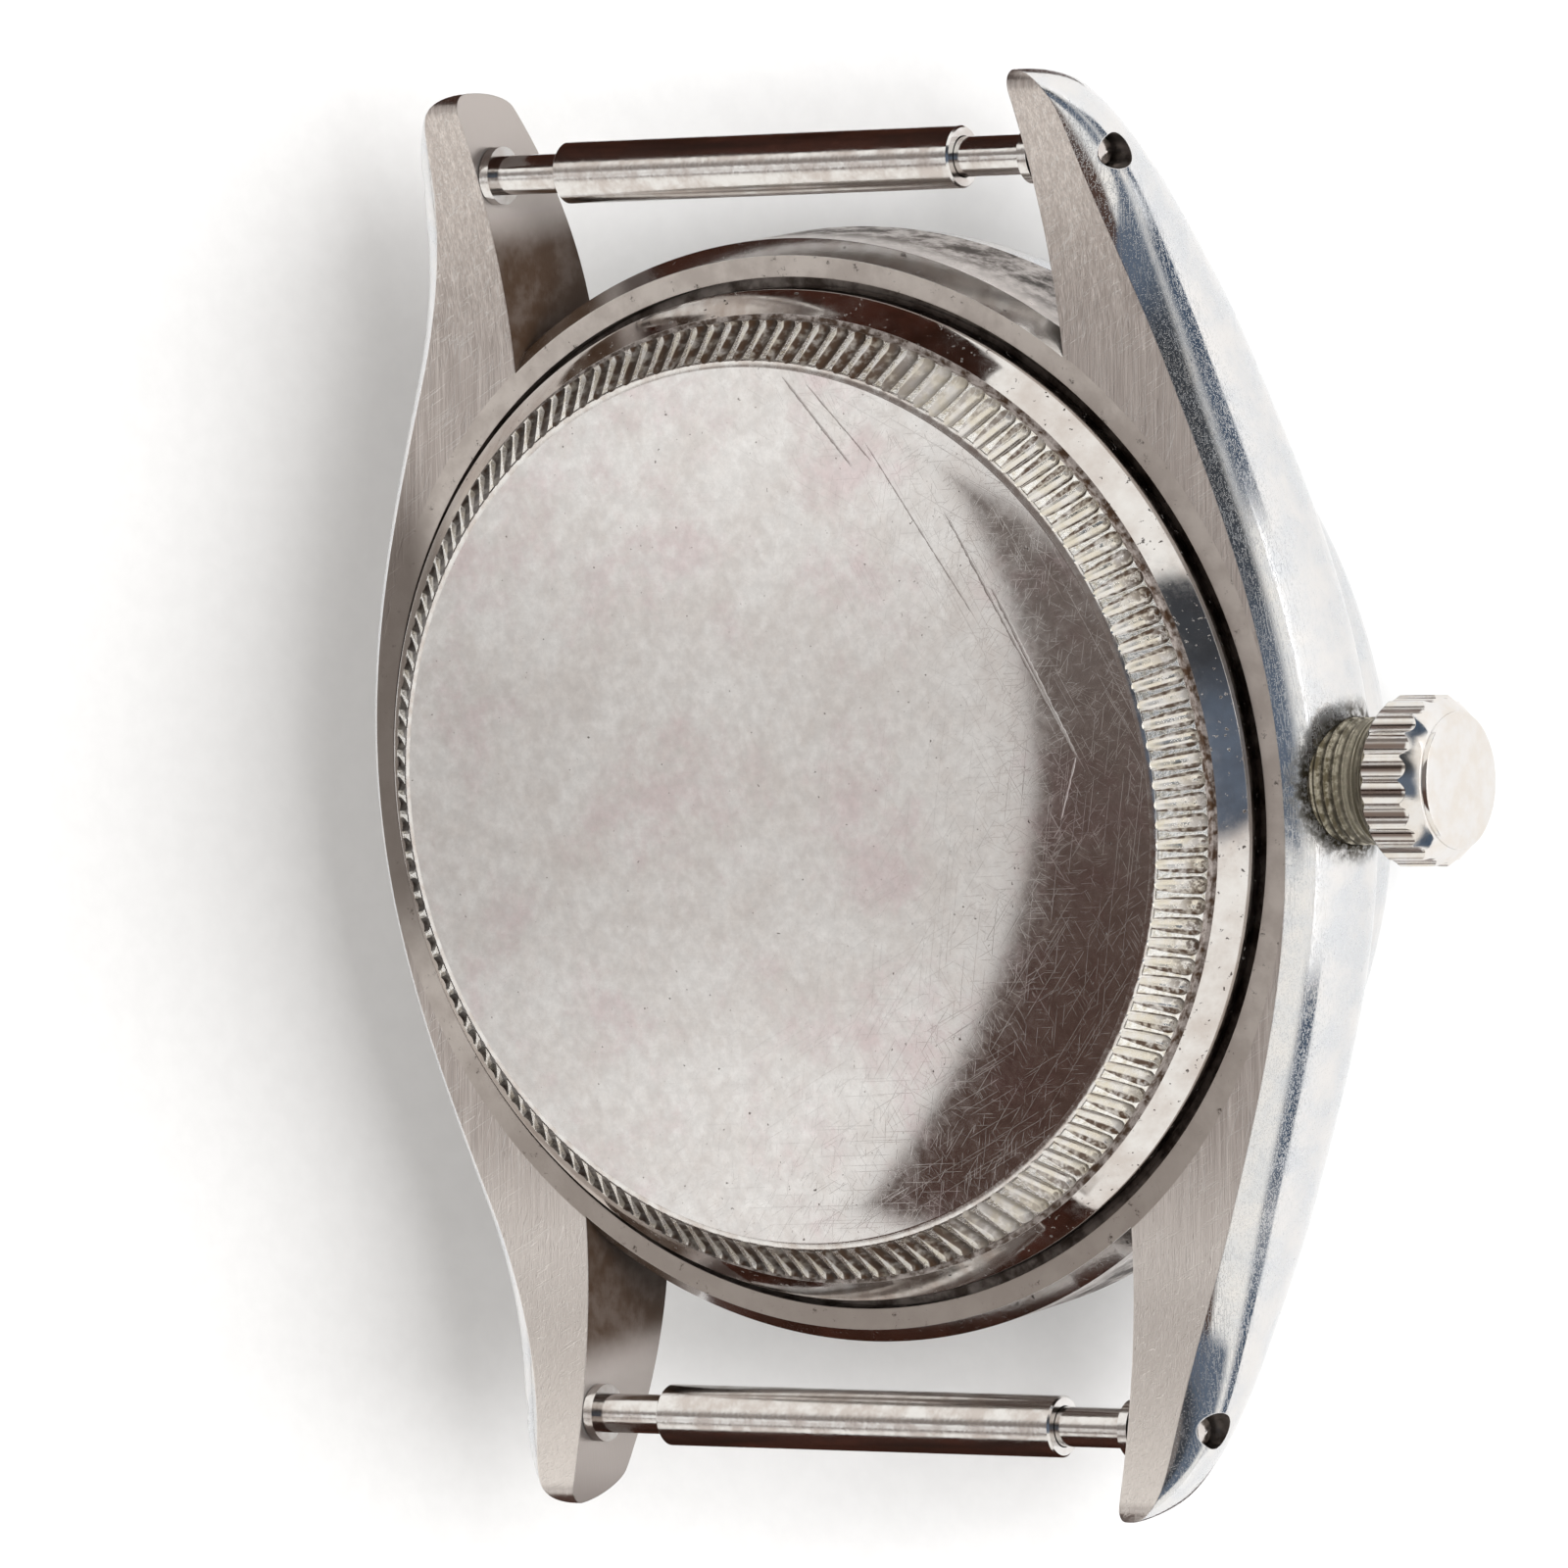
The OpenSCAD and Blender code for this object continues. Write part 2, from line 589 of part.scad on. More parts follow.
module stem() {
    tip_x = setting_at[0] - 0.3;
    flat = 0.62;
    color("slategray") {
        turned_on_stem([[0, tip_x], [0.25, tip_x], [0.25, slider_x - 1.1], [0.3, slider_x - 1.05],
            [0.3, slider_x - 0.95], [0, slider_x - 0.95]]);
        translate([slider_x - 1, -flat / 2, stem_z - flat / 2]) cube([2.3, flat, flat]);
        turned_on_stem([[0, slider_x + 1.2], [stem_r, slider_x + 1.2], [stem_r, stem_slot_x],
            [0.27, stem_slot_x], [0.27, stem_slot_x + 0.45], [stem_r, stem_slot_x + 0.45],
            [stem_r, stem_head_x], [0, stem_head_x]]);
    }
}

// Strap bars

bar_tube_x = root_x - 0.05 - shoulder_t - pivot_len - 0.1;
bar_rod_x = 4.9;

module bar_tube(y) {
    color("silver") translate([0, y, bar_z]) rotate([0, 90, 0]) rotate_extrude() polygon([
        [rod_r + 0.03, -bar_tube_x], [bar_r - 0.06, -bar_tube_x], [bar_r, 0.06 - bar_tube_x],
        [bar_r, bar_tube_x - 0.06], [bar_r - 0.06, bar_tube_x], [rod_r + 0.03, bar_tube_x]]);
}

module bar_tip(y, side) {
    face = root_x - 0.05;
    color("silver") translate([0, y, bar_z]) rotate([0, 90 * side, 0]) rotate_extrude() polygon([
        [0, bar_rod_x], [rod_r, bar_rod_x], [rod_r, face - shoulder_t], [bar_r - 0.05, face - shoulder_t],
        [bar_r - 0.05, face], [pivot_r, face], [pivot_r, face + pivot_len - 0.25],
        [pivot_r * 0.75, face + pivot_len - 0.07], [0, face + pivot_len]]);
}

bar_turns = 9;
spring_len = 2 * bar_rod_x - 0.3;
echo(str("Least gap between a bar spring's turns: ", spring_len / bar_turns - spring_wire, " mm"));

module bar_spring(y) {
    coil([0, y, bar_z], rod_r - spring_wire / 2 - 0.03, spring_wire, spring_len, bar_turns, 12);
}

module spring_bar_upper() { bar_tube(bar_y); }
module spring_bar_lower() { bar_tube(-bar_y); }
module bar_tip_upper_left() { bar_tip(bar_y, -1); }
module bar_tip_upper_right() { bar_tip(bar_y, 1); }
module bar_tip_lower_left() { bar_tip(-bar_y, -1); }
module bar_tip_lower_right() { bar_tip(-bar_y, 1); }
module bar_spring_upper() { bar_spring(bar_y); }
module bar_spring_lower() { bar_spring(-bar_y); }

// Dial and hands

module dial() {
    color("whitesmoke") difference() {
        union() {
            disc([0, 0], plate_r - 0.05, dial_z, dial_z + dial_t);
            for (h = [1:12]) if (h != 6)
                translate([0, 0, dial_z - 0.12]) rotate(30 * h - 90)
                    translate([9.2, -0.28, 0]) cube([h % 3 == 0 ? 2.4 : 2, 0.56, 0.13]);
        }
        disc([0, 0], 0.95, dial_z - 1, dial_z + dial_t + 1);
        disc(fourth_at, 0.3, dial_z - 1, dial_z + dial_t + 1);
        disc(fourth_at, 3, dial_z - tiny, dial_z + 0.06);
    }
}

module hand(at, a, len, w, tail, hub, bore, z) {
    color("gainsboro") translate([at[0], at[1], z]) rotate(a - 90) difference() {
        union() {
            linear_extrude(hand_t) polygon([[-tail, 0], [0, -w * 0.6], [len * 0.3, -w], [len, -0.03],
                [len, 0.03], [len * 0.3, w], [0, w * 0.6]]);
            cylinder(r = hub, h = hand_t);
        }
        translate([0, 0, -1]) cylinder(r = bore, h = 3);
    }
}

module hour_hand() { hand(centre_at, hour_angle, hour_len, 0.6, 1.2, 1, 0.7, hour_hand_z); }
module minute_hand() { hand(centre_at, minute_angle, minute_len, 0.45, 1.5, 0.8, 0.3, minute_hand_z); }
module seconds_hand() { hand(fourth_at, seconds_angle, seconds_len, 0.16, 0.8, 0.3, 0.12, seconds_hand_z); }

// Plates and bridges

barrel_feet = [[-8.6, -4.6], [-4, -10.6], [10.1, -5.3]];
train_feet = [[10.4, 4.3], [5.1, 10], [-0.4, 11.3]];
cock_foot = [-10.6, -1.9];
clamp_angles = [78, 214];
screw_hole = 0.42;
small_hole = 0.26;
post_r = 0.22;

module mainplate() {
    color("burlywood") difference() {
        union() {
            disc([0, 0], plate_r, plate_z, top_z);
            ring(plate_r, plate_r - 0.6, dial_z + dial_t, plate_z + tiny);
            for (p = [minute_at, lever_at, yoke_at]) disc(p, post_r, hour_z - 0.02, plate_z + tiny);
            disc(setting_at, post_r + 0.05, hour_z - 0.02, plate_z + tiny);
        }
        disc(barrel_at, drum_r + 0.3, barrel_z[0] - 0.05, top_z + 1);
        disc(barrel_at, 0.52, plate_z - 1, top_z);
        disc(centre_at, 0.37, plate_z - 1, top_z + 1);
        disc(fourth_at, arbor_r + run, plate_z - 1, top_z + 1);
        for (p = [third_at, fourth_at, escape_at, pallet_at]) disc(p, jewel_r, plate_z + 0.5, top_z + 1);
        disc(balance_at, 0.9, plate_z + 0.9, top_z + 1);
        disc(balance_at, jewel_r, plate_z + 0.3, top_z + 1);
        translate([slider_x - 1.25, -1.75, plate_z - 0.9])
            cube([winder_x - slider_x + 2.8, 3.5, plate_t + 2]);
        turned_on_stem([[0, setting_at[0] - 0.6], [0.28, setting_at[0] - 0.6],
            [0.28, slider_x], [0, slider_x]]);
        turned_on_stem([[0, winder_x], [stem_r + 0.05, winder_x], [stem_r + 0.05, plate_r + 1],
            [0, plate_r + 1]]);
        translate([stem_slot_x - 0.1, -0.4, plate_z - 1]) cube([1.5, 1.05, plate_t]);
        for (p = concat(barrel_feet, train_feet, [cock_foot])) disc(p, screw_hole, plate_z - 1, top_z + 1);
        disc(pallet_foot, small_hole, plate_z - 1, top_z + 1);
        for (a = clamp_angles) rotate(a) {
            translate([plate_r - 1.85, -0.85, clamp_step]) cube([3, 1.7, 2]);
            disc([plate_r - 1, 0], screw_hole, plate_z - 1, top_z + 1);
        }
    }
}

// A flat bar with round ends of two sizes
module bar_between(p, rp, q, rq, z0, z1) {
    disc(p, rp, z0, z1);
    disc(q, rq, z0, z1);
    translate([p[0], p[1], z0]) rotate(bearing(p, q)) linear_extrude(z1 - z0)
        polygon([[0, -rp], [gap(p, q), -rq], [gap(p, q), rq], [0, rp]]);
}

module bridge_feet(places) {
    for (p = places) disc(p, 1.1, top_z, bridge_z + tiny);
}

module barrel_bridge() {
    color("lightgoldenrodyellow") difference() {
        union() {
            intersection() {
                disc([0, 0], plate_r - 0.3, bridge_z, winding_z);
                union() {
                    translate([-plate_r, -plate_r, 0]) cube([2 * plate_r, plate_r - 2.4, through]);
                    translate([4.6, -3, 0]) cube([7.2, 5.8, through]);
                }
                union() {
                    disc(barrel_at, 7.2, 0, through);
                    disc(crown_wheel_at, 3.4, 0, through);
                    disc([-6.6, -7.2], 4.8, 0, through);
                    translate([5, -4, 0]) cube([6.9, 6.5, through]);
                    for (p = barrel_feet) disc(p, 1.5, 0, through);
                }
            }
            bridge_feet(barrel_feet);
        }
        disc(barrel_at, 0.62, 0, through);
        disc(crown_wheel_at, 1.32, 0, through);
        disc(centre_at, 1.2, 0, through);
        for (p = barrel_feet) disc(p, screw_hole, 0, through);
        for (p = [click_at, click_spring_at]) disc(p, screw_hole, 0, through);
        for (a = clamp_angles) disc(polar(plate_r - 1, a), 1.05, 0, through);
    }
}

module train_bridge() {
    color("lightgoldenrodyellow") difference() {
        union() {
            intersection() {
                disc([0, 0], plate_r - 0.3, bridge_z, winding_z);
                union() {
                    disc(third_at, 1.3, 0, through);
                    translate([-4.4, 3.3, 0]) cube([plate_r + 4.4, plate_r, through]);
                    translate([-2.1, -1.2, 0]) cube([5.6, 6, through]);
                }
            }
            bridge_feet(train_feet);
        }
        disc(balance_at, balance_r + 0.35, 0, through);
        disc(crown_wheel_at, 3.6, 0, through);
        for (p = [centre_at, third_at, fourth_at, escape_at]) disc(p, jewel_r, 0, through);
        for (p = train_feet) disc(p, screw_hole, 0, through);
        for (a = clamp_angles) disc(polar(plate_r - 1, a), 1.05, 0, through);
    }
}

module pallet_bridge() {
    color("lightgoldenrodyellow") difference() {
        union() {
            bar_between(pallet_at, 0.6, pallet_foot, 0.7, pallet_bridge_z, pallet_bridge_z + 0.3);
            disc(pallet_foot, 0.7, top_z, pallet_bridge_z + tiny);
        }
        disc(pallet_at, 0.3, 0, through);
        disc(pallet_foot, small_hole, 0, through);
    }
}

module balance_cock() {
    color("lightgoldenrodyellow") difference() {
        intersection() {
            union() {
                bar_between(balance_at, 1.3, cock_foot, 1.7, cock_z, cock_z + cock_t);
                disc(cock_foot, 1.6, top_z, cock_z + tiny);
            }
            disc([0, 0], plate_r - 0.35, 0, through);
        }
        disc(balance_at, jewel_r, 0, through);
        disc(cock_foot, screw_hole, 0, through);
        disc(balance_at, balance_r + 0.3, 0, cock_z);
        translate([cock_foot[0] - 3, -0.3, 0]) cube([6, 2, cock_z]);
    }
}

module bridge_screws() {
    color("steelblue") {
        for (p = concat(barrel_feet, train_feet)) screw(p, 0.75, winding_z, 2.7);
        screw(click_at, 0.75, winding_z + winding_t + 0.02, 0.9);
        screw(click_spring_at, 0.75, winding_z + 0.22, 0.8);
        screw(cock_foot, 0.75, cock_z + cock_t, 3.6);
        screw(pallet_foot, 0.45, pallet_bridge_z + 0.3, 1.6);
    }
}

module jewels() {
    color("crimson") {
        for (p = [third_at, fourth_at, escape_at]) {
            translate([p[0], p[1], 0]) ring(jewel_r, train_pivot_r + fit, bridge_z + 0.25, winding_z);
            translate([p[0], p[1], 0]) ring(jewel_r, p == fourth_at ? arbor_r + fit : train_pivot_r + fit,
                plate_z + 0.5, top_z - 0.4);
        }
        translate([centre_at[0], centre_at[1], 0]) ring(jewel_r, 0.2 + fit, bridge_z + 0.25, winding_z);
        translate([pallet_at[0], pallet_at[1], 0])
            ring(jewel_r, train_pivot_r + fit, plate_z + 0.5, top_z - 0.4);
        translate([balance_at[0], balance_at[1], 0])
            ring(jewel_r, train_pivot_r + fit, plate_z + 0.3, plate_z + 0.9);
        translate([balance_at[0], balance_at[1], 0])
            ring(jewel_r, train_pivot_r + fit, cock_z + 0.1, cock_z + cock_t);
        translate([pallet_at[0], pallet_at[1], 0])
            ring(0.3, train_pivot_r + fit, pallet_bridge_z, pallet_bridge_z + 0.3);
    }
}

module case_clamps() {
    color("silver") for (a = clamp_angles) rotate(a) difference() {
        union() {
            translate([plate_r - 1.8, -0.8, clamp_step]) cube([2.5, 1.6, 0.2]);
            translate([plate_r + 0.25, -0.8, clamp_z]) cube([0.45, 1.6, clamp_step - clamp_z + tiny]);
        }
        disc([plate_r - 1, 0], screw_hole, 0, through);
    }
}

module clamp_screws() {
    color("steelblue") for (a = clamp_angles) screw(polar(plate_r - 1, a), 0.7, clamp_step + 0.2, 1);
}

// Barrel and going train

module barrel() {
    z0 = barrel_z[0];
    z1 = barrel_z[1];
    color("goldenrod") difference() {
        union() {
            disc(barrel_at, drum_r, z0, z1);
            gear(barrel_at, barrel_teeth, barrel_mod, barrel_angle + 180, z1 - 0.3, z1);
        }
        disc(barrel_at, drum_r - 0.3, z0 + 0.2, z1 - 0.2);
        disc(barrel_at, 0.56, z0 - 1, z1 + 1);
    }
}

module barrel_arbor() {
    z0 = barrel_z[0];
    z1 = barrel_z[1];
    color("slategray") {
        disc(barrel_at, 0.5, plate_z + 0.02, bridge_z + 0.02);
        disc(barrel_at, 1.3, z0 + 0.25, z1 - 0.25);
        disc(barrel_at, 0.58, bridge_z, winding_z + winding_t + 0.15);
    }
}

module mainspring() {
    turns = 6;
    steps = 24;
    r0 = 1.55;
    r1 = drum_r - 0.36;
    line = [for (i = [0:turns * steps]) polar(r0 + (r1 - r0) * i / (turns * steps), 360 * i / steps)];
    inner = [for (i = [turns * steps:-1:0])
        polar(r0 - 0.16 + (r1 - r0) * i / (turns * steps), 360 * i / steps)];
    color("lightsteelblue") translate([barrel_at[0], barrel_at[1], barrel_z[0] + 0.3])
        linear_extrude(barrel_z[1] - barrel_z[0] - 0.6) polygon(concat(line, inner));
}

pinion_phase = meshed(barrel_angle + 180, barrel_teeth, centre_leaves, barrel_angle + 180);

module centre_wheel() {
    color("goldenrod") {
        gear(centre_at, centre_leaves, barrel_mod, pinion_phase, top_z + 0.05, barrel_z[1]);
        spoked(centre_at, centre_teeth, centre_mod, bearing(centre_at, third_at), centre_z, wheel_t, 4, 0.9);
        disc(centre_at, 0.35, plate_z - 0.02, bridge_z - 0.05);
        disc(centre_at, 0.2, minute_hand_z + 0.05, winding_z);
    }
}

module third_wheel() {
    color("goldenrod") {
        gear(third_at, third_leaves, centre_mod,
            meshed(bearing(centre_at, third_at), centre_teeth, third_leaves, bearing(centre_at, third_at)),
            centre_z - 0.08, centre_z + wheel_t + 0.1);
        spoked(third_at, third_teeth, third_mod, bearing(third_at, fourth_at), third_z, wheel_t, 4, 0.6);
        arbor(third_at, top_z + 0.02, bridge_z - 0.04, plate_z + 0.5, winding_z);
    }
}

module fourth_wheel() {
    color("goldenrod") {
        gear(fourth_at, fourth_leaves, third_mod,
            meshed(bearing(third_at, fourth_at), third_teeth, fourth_leaves, bearing(third_at, fourth_at)),
            third_z - 0.06, third_z + wheel_t + 0.12);
        spoked(fourth_at, fourth_teeth, fourth_mod, bearing(fourth_at, escape_at), fourth_z, wheel_t, 4, 0.5);
        disc(fourth_at, arbor_r, dial_z - 0.02, bridge_z - 0.04);
        disc(fourth_at, 0.1, seconds_hand_z, bridge_z);
        disc(fourth_at, train_pivot_r, bridge_z - 0.1, winding_z);
    }
}

module escape_wheel() {
    hub = 0.4;
    rim = escape_r - 0.62;
    color("goldenrod") {
        gear(escape_at, escape_leaves, fourth_mod,
            meshed(bearing(fourth_at, escape_at), fourth_teeth, escape_leaves, bearing(fourth_at, escape_at)),
            fourth_z - 0.06, bridge_z - 0.05);
        translate([escape_at[0], escape_at[1], escape_z]) {
            linear_extrude(0.12) difference() {
                polygon([for (i = [0:escape_teeth - 1]) let(a = 360 * i / escape_teeth)
                    each [polar(rim + 0.2, a), polar(escape_r, a + 8), polar(escape_r - 0.06, a + 11),
                        polar(rim + 0.2, a + 9)]]);
                circle(r = rim);
            }
            for (i = [0:3]) rotate(90 * i) translate([0, -0.12, 0]) cube([rim + 0.05, 0.24, 0.12]);
            cylinder(r = hub, h = 0.12);
        }
        arbor(escape_at, top_z + 0.02, bridge_z - 0.04, plate_z + 0.5, winding_z);
    }
}

module pallet_fork() {
    to_balance = bearing(pallet_at, balance_at);
    color("slategray") {
        translate([pallet_at[0], pallet_at[1], escape_z]) rotate(to_balance) {
            linear_extrude(0.14) {
                polygon([[0, -0.2], [2.7, -0.12], [3, -0.34], [3.25, -0.34], [3.25, -0.13], [2.95, -0.13],
                    [2.95, 0.13], [3.25, 0.13], [3.25, 0.34], [3, 0.34], [2.7, 0.12], [0, 0.2]]);
                polygon([[0.25, 0], [-0.35, 1.4], [-0.7, 1.3], [-0.1, 0], [-0.7, -1.3], [-0.35, -1.4]]);
            }
        }
        arbor(pallet_at, top_z + 0.02, pallet_bridge_z - 0.03, plate_z + 0.5, pallet_bridge_z + 0.3);
    }
}

module balance() {
    color("goldenrod") {
        difference() {
            disc(balance_at, balance_r, balance_z - 0.2, balance_z + 0.25);
            disc(balance_at, balance_r - 0.5, balance_z - 1, balance_z + 1);
        }
        translate([balance_at[0], balance_at[1], balance_z]) {
            cylinder(r = 0.55, h = 0.15);
            for (i = [0:2]) rotate(120 * i + 40) translate([0, -0.2, 0]) cube([balance_r - 0.4, 0.4, 0.15]);
        }
        disc(balance_at, 0.5, escape_z + 0.18, escape_z + 0.34);
        disc(balance_at + polar(0.32, bearing(balance_at, pallet_at)), 0.09, escape_z, escape_z + 0.2);
        disc(balance_at, 0.28, escape_z + 0.2, cock_z - 0.05);
        disc(balance_at, 0.15, top_z + 0.1, escape_z + 0.3);
        disc(balance_at, train_pivot_r, plate_z + 0.3, cock_z + cock_t - 0.05);
    }
}

// Flat spiral between the balance staff and its stud on the cock
module hairspring() {
    steps = 20;
    r0 = 0.55;
    r1 = 2.5;
    n = hair_turns * steps;
    line = [for (i = [0:n]) polar(r0 + (r1 - r0) * i / n, 360 * i / steps)];
    inner = [for (i = [n:-1:0]) polar(r0 - 0.06 + (r1 - r0) * i / n, 360 * i / steps)];
    color("steelblue") {
        translate([balance_at[0], balance_at[1], hair_z])
            linear_extrude(0.14) polygon(concat(line, inner));
        translate([balance_at[0], balance_at[1], 0]) ring(0.52, 0.29, hair_z - 0.05, hair_z + 0.19);
    }
}

// Winding and setting work

module ratchet_wheel() {
    color("silver") difference() {
        gear(barrel_at, ratchet_teeth, winding_mod, bearing(barrel_at, crown_wheel_at),
            winding_z + 0.03, winding_z + winding_t);
        disc(barrel_at, 0.6, 0, through);
    }
}

module crown_wheel() {
    phase = meshed(bearing(barrel_at, crown_wheel_at), ratchet_teeth, crown_teeth,
        bearing(barrel_at, crown_wheel_at));
    color("silver") difference() {
        union() {
            gear(crown_wheel_at, crown_teeth, winding_mod, phase, winding_z + 0.03, winding_z + winding_t);
            disc(crown_wheel_at, 1.28, bridge_z - 0.04, winding_z + 0.04);
        }
        disc(crown_wheel_at, 0.6, 0, through);
    }
}

module crown_wheel_core() {
    low = stem_z + 1.5;
    contrate = 24;
    color("silver") {
        difference() {
            union() {
                disc(crown_wheel_at, 2.45, low + 0.12, bridge_z - 0.04);
                for (i = [0:contrate - 1])
                    translate([crown_wheel_at[0], crown_wheel_at[1], low])
                        rotate(360 * (i + 0.5) / contrate)
                            translate([2.05, -0.12, 0]) cube([0.38, 0.24, 0.14]);
            }
            disc(crown_wheel_at, 1.9, 0, low + 0.15);
        }
        disc(crown_wheel_at, 0.58, bridge_z - 0.1, winding_z + winding_t + tiny);
        disc(crown_wheel_at, 1, winding_z + winding_t, winding_z + winding_t + 0.15);
    }
}

module click() {
    to_wheel = bearing(click_at, barrel_at);
    color("silver") translate([click_at[0], click_at[1], winding_z + 0.03]) rotate(to_wheel) difference() {
        union() {
            cylinder(r = 0.62, h = winding_t - 0.03);
            linear_extrude(winding_t - 0.03)
                polygon([[0, 0], [-0.1, 0.5], [0.9, 0.75], [1.1, 0.3], [0.5, -0.1]]);
        }
        translate([0, 0, -1]) cylinder(r = 0.44, h = 3);
    }
}

module click_spring() {
    away = bearing(click_spring_at, click_at);
    color("steelblue") difference() {
        union() {
            disc(click_spring_at, 0.7, winding_z, winding_z + 0.2);
            translate([click_spring_at[0], click_spring_at[1], winding_z]) rotate(away + 20)
                translate([0, -0.08, 0]) cube([2.1, 0.16, 0.2]);
        }
        disc(click_spring_at, 0.42, 0, through);
    }
}

module winding_pinion() {
    leaves = 16;
    wide = 1.6;
    color("slategray") difference() {
        translate([winder_x, 0, stem_z]) rotate([0, 90, 0]) linear_extrude(1.4)
            polygon(gear_points(leaves, 2 * wide / (leaves + 1.6), 0));
        turned_on_stem([[0, 0], [stem_r + 0.03, 0], [stem_r + 0.03, flank_r], [0, flank_r]]);
    }
}

module sliding_pinion() {
    r = 1.05;
    neck = 0.75;
    color("slategray") difference() {
        turned_on_stem([[0, slider_x], [r, slider_x], [r, slider_x + 0.4], [neck, slider_x + 0.45],
            [neck, slider_x + 0.75], [r, slider_x + 0.8], [r, winder_x - 0.05], [0, winder_x - 0.05]]);
        translate([slider_x - 1, -0.34, stem_z - 0.34]) cube([3, 0.68, 0.68]);
        for (i = [0:11]) translate([slider_x, 0, stem_z]) rotate([30 * i, 0, 0])
            translate([-1, -0.1, 0.8]) cube([1.2, 0.2, 1]);
    }
}

lever_z = dial_z + dial_t + 0.12;
lever_t = 0.35;

module setting_lever() {
    stud = [lever_at[0], 0];
    color("slategray") difference() {
        union() {
            bar_between(lever_at, 0.7, stud, 0.35, lever_z, lever_z + lever_t);
            disc(stud, 0.2, lever_z, stem_z - 0.3);
        }
        disc(lever_at, post_r + 0.03, 0, through);
    }
}

module yoke() {
    fork = [yoke_at[0], -0.9];
    color("slategray") difference() {
        union() {
            bar_between(yoke_at, 0.65, fork, 0.13, lever_z, lever_z + lever_t);
            disc(fork, 0.11, lever_z, stem_z - 0.35);
        }
        disc(yoke_at, post_r + 0.03, 0, through);
    }
}

module setting_wheel() {
    phase = meshed(minute_phase, minute_teeth, setting_teeth, 0);
    color("silver") difference() {
        gear(setting_at, setting_teeth, motion_mod, phase, minute_z, minute_z + 0.3);
        disc(setting_at, 0.3, 0, through);
    }
}

minute_phase = meshed(0, cannon_teeth, minute_teeth, 0);

module cannon_pinion() {
    color("slategray") difference() {
        union() {
            gear(centre_at, cannon_teeth, motion_mod, 0, minute_z, minute_z + 0.22);
            disc(centre_at, 0.42, dial_z - 0.3, minute_z + 0.01);
            disc(centre_at, 0.3, minute_hand_z, dial_z);
        }
        disc(centre_at, 0.205, 0, through);
    }
}

module minute_wheel() {
    color("goldenrod") difference() {
        union() {
            gear(minute_at, minute_teeth, motion_mod, minute_phase, minute_z, minute_z + 0.18);
            gear(minute_at, minute_leaves, hour_mod, 180, hour_z, minute_z + tiny);
        }
        disc(minute_at, 0.25, 0, through);
    }
}

module hour_wheel() {
    color("goldenrod") difference() {
        union() {
            gear(centre_at, hour_teeth, hour_mod, meshed(180, minute_leaves, hour_teeth, 180), hour_z,
                hour_z + 0.2);
            disc(centre_at, 0.85, dial_z - 0.3, hour_z + 0.01);
            disc(centre_at, 0.7, hour_hand_z, dial_z);
        }
        disc(centre_at, 0.46, 0, through);
    }
}

middle_case();
case_back();
back_gasket();
bezel();
crystal();
crown_tube();
tube_gasket();
crown();
crown_gasket();
crown_spring();
stem();
spring_bar_upper();
spring_bar_lower();
bar_tip_upper_left();
bar_tip_upper_right();
bar_tip_lower_left();
bar_tip_lower_right();
bar_spring_upper();
bar_spring_lower();
dial();
hour_hand();
minute_hand();
seconds_hand();
mainplate();
barrel_bridge();
train_bridge();
pallet_bridge();
balance_cock();
bridge_screws();
jewels();
case_clamps();
clamp_screws();
barrel();
barrel_arbor();
mainspring();
centre_wheel();
third_wheel();
fourth_wheel();
escape_wheel();
pallet_fork();
balance();
hairspring();
ratchet_wheel();
crown_wheel();
crown_wheel_core();
click();
click_spring();
winding_pinion();
sliding_pinion();
setting_lever();
yoke();
setting_wheel();
cannon_pinion();
minute_wheel();
hour_wheel();
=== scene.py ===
import math

import bpy
from mathutils import Matrix, Vector


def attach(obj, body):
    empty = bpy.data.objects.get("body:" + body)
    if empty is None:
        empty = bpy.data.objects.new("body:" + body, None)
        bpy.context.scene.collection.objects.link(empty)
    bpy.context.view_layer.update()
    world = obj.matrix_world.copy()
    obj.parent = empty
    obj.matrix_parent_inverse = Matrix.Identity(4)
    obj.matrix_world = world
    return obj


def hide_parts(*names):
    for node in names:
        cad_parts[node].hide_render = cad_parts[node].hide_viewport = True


bl_info = {
    "name": "Watch case back",
    "version": (1, 0, 0),
    "blender": (4, 5, 0),
    "location": "View3D > Sidebar > Watch back",
    "description": "Worn steel watch head, seen from its screwed case back",
    "category": "Object",
}

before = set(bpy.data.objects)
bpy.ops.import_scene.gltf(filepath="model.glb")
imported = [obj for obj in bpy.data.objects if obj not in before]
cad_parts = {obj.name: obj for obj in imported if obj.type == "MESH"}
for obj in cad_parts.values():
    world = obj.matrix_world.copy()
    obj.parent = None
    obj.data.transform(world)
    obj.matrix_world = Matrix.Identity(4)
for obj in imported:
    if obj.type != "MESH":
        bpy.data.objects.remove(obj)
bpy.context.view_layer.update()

MM = 0.001
# Settings that many nodes share: a smooth change from one span to another, and a mix of two colours.
SMOOTH = {"interpolation_type": "SMOOTHSTEP"}
COLOURS = {"data_type": "RGBA"}


def linear(code):
    """An sRGB hex colour as linear red, green, blue and alpha."""
    parts = [int(code[i : i + 2], 16) / 255 for i in (1, 3, 5)]
    return tuple(c / 12.92 if c <= 0.04045 else ((c + 0.055) / 1.055) ** 2.4 for c in parts) + (1.0,)


# Sizes and colours that a user would change


def length(name, description, mm):
    """A length setting, whose first value is given in millimetres."""
    return bpy.props.FloatProperty(
        name=name, description=description, default=mm * MM, unit="LENGTH", precision=5,
    )


def colour(name, description, code):
    """A colour setting, whose first value is given as a hex code."""
    return bpy.props.FloatVectorProperty(
        name=name, description=description, default=linear(code), size=4, subtype="COLOR", min=0, max=1
    )


